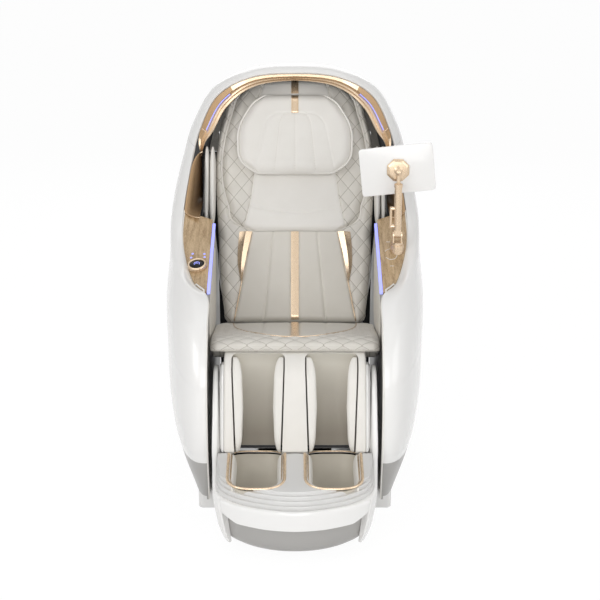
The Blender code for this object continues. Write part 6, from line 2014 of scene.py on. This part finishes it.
    def airbag(self, side: Side, way: int) -> None:
        """A pale leaf cushion on the side of a foot well.

        Args:
            side: the side of the chair.
            way: 1 for the outer one of the well, -1 for the inner one.
        """
        rings = []
        for y in dense(-0.612, -0.385, 40, 0.8):
            end = roll(min(y + 0.614, -0.383 - y), 0.070)
            level = self.deck(y)
            wall = self.well_x + way * (0.0735 - 0.018 * (1 - roll(y + 0.632, 0.060)))
            ring = []
            for k in range(16):
                turn = math.pi * k / 15
                swell = 0.004 + 0.011 * end
                z = level - 0.004 - 0.038 * (1 - math.cos(turn)) * (0.4 + 0.6 * end)
                ring.append((side.value * (wall - way * swell * math.sin(turn) ** 0.7), y, z))
            rings.append(ring)
        word = "outer" if way > 0 else "inner"
        obj = MAKER.loft(f"foot_airbag_{word}_{side.word}", rings)
        MAKER.done(obj, "foot", CREAM, "cream_leather", smooth=60)

    def heel_arc(self, side: Side) -> None:
        """The champagne bead along the rear edge of a foot well.

        Args:
            side: the side of the chair.
        """
        path = []
        for turn in np.linspace(0.12, math.pi - 0.12, 40):
            c, s = math.cos(turn), math.sin(turn)
            x = self.well_x + math.copysign(abs(c) ** 0.75, c) * 0.066
            y = -0.405 + 0.050 * s**0.7
            path.append((side.value * x, y, self.deck(y) + 0.0012))
        MAKER.done(MAKER.tube(f"heel_bead_{side.word}", path, 0.0022), "foot", CHAMPAGNE, "champagne")

    def rim(self, side: Side) -> None:
        """The champagne rim of a well, a flattened bead in the shape of a U.

        Args:
            side: the side of the chair.
        """
        middle, half = side.value * self.well_x, 0.0775
        corner, front = 0.058, -0.625
        path = [(middle - half, y) for y in np.linspace(-0.4475, -0.574, 14)]
        for k in range(1, 30):
            turn = math.pi + math.pi * k / 30
            c, s = math.cos(turn), math.sin(turn)
            x = math.copysign(abs(c) ** 0.7, c) * half
            path.append((middle + x, front + corner - 0.003 + math.copysign(abs(s) ** 0.8, s) * corner))
        path += [(middle + half, y) for y in np.linspace(-0.574, -0.4475, 14)]
        # The bead's section: how far out from the opening, and how high over the deck.
        section = ((0.0075, 0.0), (0.0072, 0.0026), (0.0052, 0.0042), (0.0028, 0.0042), (0.0, 0.0026))
        section += ((-0.0042, -0.0030), (-0.0056, -0.0062), (-0.0050, -0.0080), (0.0050, -0.0010))
        rings = []
        for k, (x, y) in enumerate(path):
            before, after = path[max(k - 1, 0)], path[min(k + 1, len(path) - 1)]
            way = Vector((after[0] - before[0], after[1] - before[1], 0)).normalized()
            out = Vector((way.y, -way.x, 0))
            base = Vector((x, y, self.deck(y)))
            wide = 1 + 0.55 * abs(out.x)
            ring = []
            for across, lift in section:
                ring.append(base + out * across * (wide if across < 0 else 1.0) + Vector((0, 0, lift)))
            rings.append(ring)
        obj = MAKER.loft(f"well_rim_{side.word}", rings)
        MAKER.done(obj, "foot", CHAMPAGNE, "champagne", [f"foot_rim_{side.word}"], smooth=60)

    def base(self) -> None:
        """The grey band under the housing, drawn in towards the floor."""
        rings = []
        levels = ((0.0352, -0.060), (0.0356, -0.050), (0.040, -0.034), (0.048, -0.025), (0.060, -0.0200))
        levels += ((0.078, -0.0175), (0.0945, -0.0170), (0.1115, -0.0188), (0.146, -0.0192))
        levels += ((0.146, -0.0240), (0.060, -0.0300))
        last = 0.95
        for z, grow in levels:
            ring = []
            for t in np.linspace(-last, last, 130):
                share = float(np.interp(abs(t), [0.05, self.wing_edge - 0.005], [0.0, 1.0]))
                share = share * share * (3 - 2 * share)
                px, py = self.plan(t, min(grow, -0.0192 * share))
                ring.append((px * self.draw_in(z), py - 0.30 * (py - self.front) * (1 - share), z))
            rings.append(ring)
        obj = MAKER.loft("foot_band", rings)
        MAKER.done(obj, "foot", SKIRT, "grey_gloss", ["foot_base"], smooth=40)
        flap = rounded(0.205, 0.044, 0.004, 4, (0.0, 0.152))
        obj = MAKER.slab("foot_rear_flap", flap, -0.3335, -0.3310, lambda a, b, d: (a, d, b), 0.0005)
        MAKER.done(obj, "foot", DARK, "rubber")


@dataclass
class TabletArm:
    """The tablet on its arm: socket, post, tube, ball mount and tablet.

    Attributes:
        x: how far from the middle the post stands.
        y: how far along it stands.
        ball: height of the ball.
        offset: how far behind the post the mounting plate is.
        roll: how far the tablet is turned, in degrees.
    """

    x: float = 0.316
    y: float = 0.020
    ball: float = 0.962
    offset: float = 0.0225
    roll: float = 6.0

    def build(self) -> None:
        """Builds the tablet and its mount; the rest keeps its CAD forms and is dressed."""
        face = self.y + self.offset + 0.009 + 0.0003
        case = self.outline(0.1135, 0.0745, 0.010)
        obj = MAKER.slab("tablet_case", case, face, face + 0.009, lambda a, b, d: (a, d, b), 0.0016)
        MAKER.done(obj, "tablet_body", WHITE, "gloss_white", ["tablet"], smooth=40)
        screen = self.outline(0.1085, 0.0695, 0.006)
        glass = MAKER.slab("tablet_glass", screen, face + 0.0091, face + 0.0097, lambda a, b, d: (a, d, b), 0.0002)
        MAKER.done(glass, "tablet_body", BLACK, "black_gloss", smooth=40)
        self.mount()

    def outline(self, half_a: float, half_b: float, corner: float) -> list:
        """A rounded rectangle about the ball, turned as the tablet is.

        Args:
            half_a: half the length.
            half_b: half the height.
            corner: radius of the corners.

        Returns:
            The outline's points.
        """
        turn = math.radians(self.roll)
        c, s = math.cos(turn), math.sin(turn)
        flat = rounded(half_a, half_b, corner, 8)
        return [(self.x - 0.002 + (a * c - b * s), self.ball + (a * s + b * c)) for a, b in flat]

    def mount(self) -> None:
        """The ball mount: a bevelled octagon on the tablet's back, with its neck and ball."""
        plate = self.y + self.offset
        hub = (self.x, self.y, self.ball)
        rings = []
        turns = [2 * math.pi * (k + 0.5) / 8 for k in range(8)]
        for radius, out in ((0.027, -0.0005), (0.031, 0.001), (0.037, 0.005), (0.037, 0.009)):
            depth = plate + out
            rings.append([(self.x + radius * math.cos(a), depth, self.ball + radius * math.sin(a)) for a in turns])
        face = MAKER.loft("mount_plate", rings)
        MAKER.bevel(face, 0.0008, 20, 2)
        MAKER.done(face, "tablet_mount_body", CHAMPAGNE, "champagne", ["tablet_mount"], smooth=20)
        ball = [(0.0105 * math.sin(a), -0.0105 * math.cos(a)) for a in np.linspace(0.0, 2.5, 16)]
        neck = [(0.0060, 0.0085), (0.0060, 0.0170), (0.0085, 0.0190), (0.0130, 0.0215), (0.0130, 0.0230), (0.0, 0.0230)]
        MAKER.done(MAKER.lathe("mount_ball", ball + neck, hub, (0, 1, 0)), "tablet_mount_body", CHAMPAGNE, "champagne")


class Mechanism:
    """The carried-over CAD nodes, each given its finish."""

    finishes = (
        (STEEL, ("base_frame", "seat_frame", "back_frame")),
        (BRIGHT_STEEL, ("slide_rail_left", "slide_rail_right", "back_rod", "leg_rod")),
        (DARK, ("control_box", "air_pump", "back_actuator", "leg_actuator", "massage_carriage")),
        (DARK, ("massage_arm_left", "massage_arm_right")),
        (RUBBER, ("transport_wheel_left", "transport_wheel_right")),
        (INNER_GREY, ("inner_panel_left", "inner_panel_right")),
        (LAMP, ("arm_light_left", "arm_light_right")),
        (CHAMPAGNE, ("tablet_socket", "tablet_post", "tablet_link")),
        (ROLLER, ("roller_lower_left", "roller_lower_right", "roller_upper_left", "roller_upper_right")),
        (ROLLER, ("sole_roller_shaft",)),
    )

    def dress(self) -> None:
        """Gives each node its finish."""
        for finish, names in self.finishes:
            for name in names:
                for slot in frame["nodes"][name].material_slots:
                    slot.material = finish.material()


@dataclass
class Studio:
    """The floor, the soft light and the camera.

    Attributes:
        tilt: how far the camera looks down, in degrees.
        distance: how far away it stands.
        target: the height that it looks at.
    """

    tilt: float = 18.0
    distance: float = 4.5
    target: float = 0.56

    def build(self) -> None:
        """Builds the studio."""
        bpy.ops.mesh.primitive_plane_add(size=80.0, location=(0, 0, -0.0005))
        floor = bpy.context.active_object
        floor.name = "studio_floor"
        floor.data.materials.append(FLOOR.material())
        self.world()
        self.lamp("key", (-2.6, -3.2, 2.5), 2.4, 50.0)
        self.lamp("fill", (2.9, -2.8, 2.0), 2.6, 34.0)
        self.lamp("top", (0.0, 0.2, 3.8), 2.6, 12.0)
        self.lamp("front", (0.0, -4.6, 1.5), 2.2, 46.0)
        self.lamp("rear", (0.0, 3.4, 2.6), 2.6, 26.0)
        data = bpy.data.cameras.new("camera")
        data.lens, data.sensor_width, data.shift_x = 86.7, 36.0, 0.0085
        camera = bpy.data.objects.new("camera", data)
        bpy.context.scene.collection.objects.link(camera)
        angle = math.radians(self.tilt)
        camera.location = (0.0, -self.distance * math.cos(angle), self.target + self.distance * math.sin(angle))
        camera.rotation_euler = (math.radians(90) - angle, 0.0, 0.0)
        bpy.context.scene.camera = camera
        bpy.context.scene.view_settings.view_transform = "Standard"

    def lamp(self, name: str, place: Point, size: float, power: float) -> None:
        """A soft square lamp that looks at the chair's middle.

        Args:
            name: name of the piece.
            place: where it hangs.
            size: its width in metres.
            power: its power in watts.
        """
        data = bpy.data.lights.new(name, "AREA")
        data.size, data.energy = size, power
        obj = bpy.data.objects.new(name, data)
        bpy.context.scene.collection.objects.link(obj)
        obj.location = place
        obj.rotation_euler = (Vector((0.0, 0.1, 0.6)) - Vector(place)).to_track_quat("-Z", "Y").to_euler()

    def world(self) -> None:
        """A white surround for the camera, mirrors and glass, and a plain soft light for the rest."""
        world = bpy.context.scene.world or bpy.data.worlds.new("studio")
        bpy.context.scene.world = world
        world.use_nodes = True
        tree = world.node_tree
        tree.nodes.clear()
        power = add_node(tree, "ShaderNodeMapRange", {0: unlit_ray(tree), 3: 0.36, 4: 1.0})
        glow = add_node(tree, "ShaderNodeBackground", {"Color": (1, 1, 1, 1), "Strength": power.outputs[0]})
        add_node(tree, "ShaderNodeOutputWorld", {0: glow.outputs[0]})


def main() -> None:
    """Builds the looks round the frame."""
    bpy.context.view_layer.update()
    Cocoon().build()
    Hood().build()
    Arms().build()
    Backrest().build()
    Seat().build()
    Calf().build()
    Foot().build()
    TabletArm().build()
    Mechanism().dress()
    Studio().build()
    log.info("%d pieces made", MAKER.count)


if __name__ == "__main__":
    main()
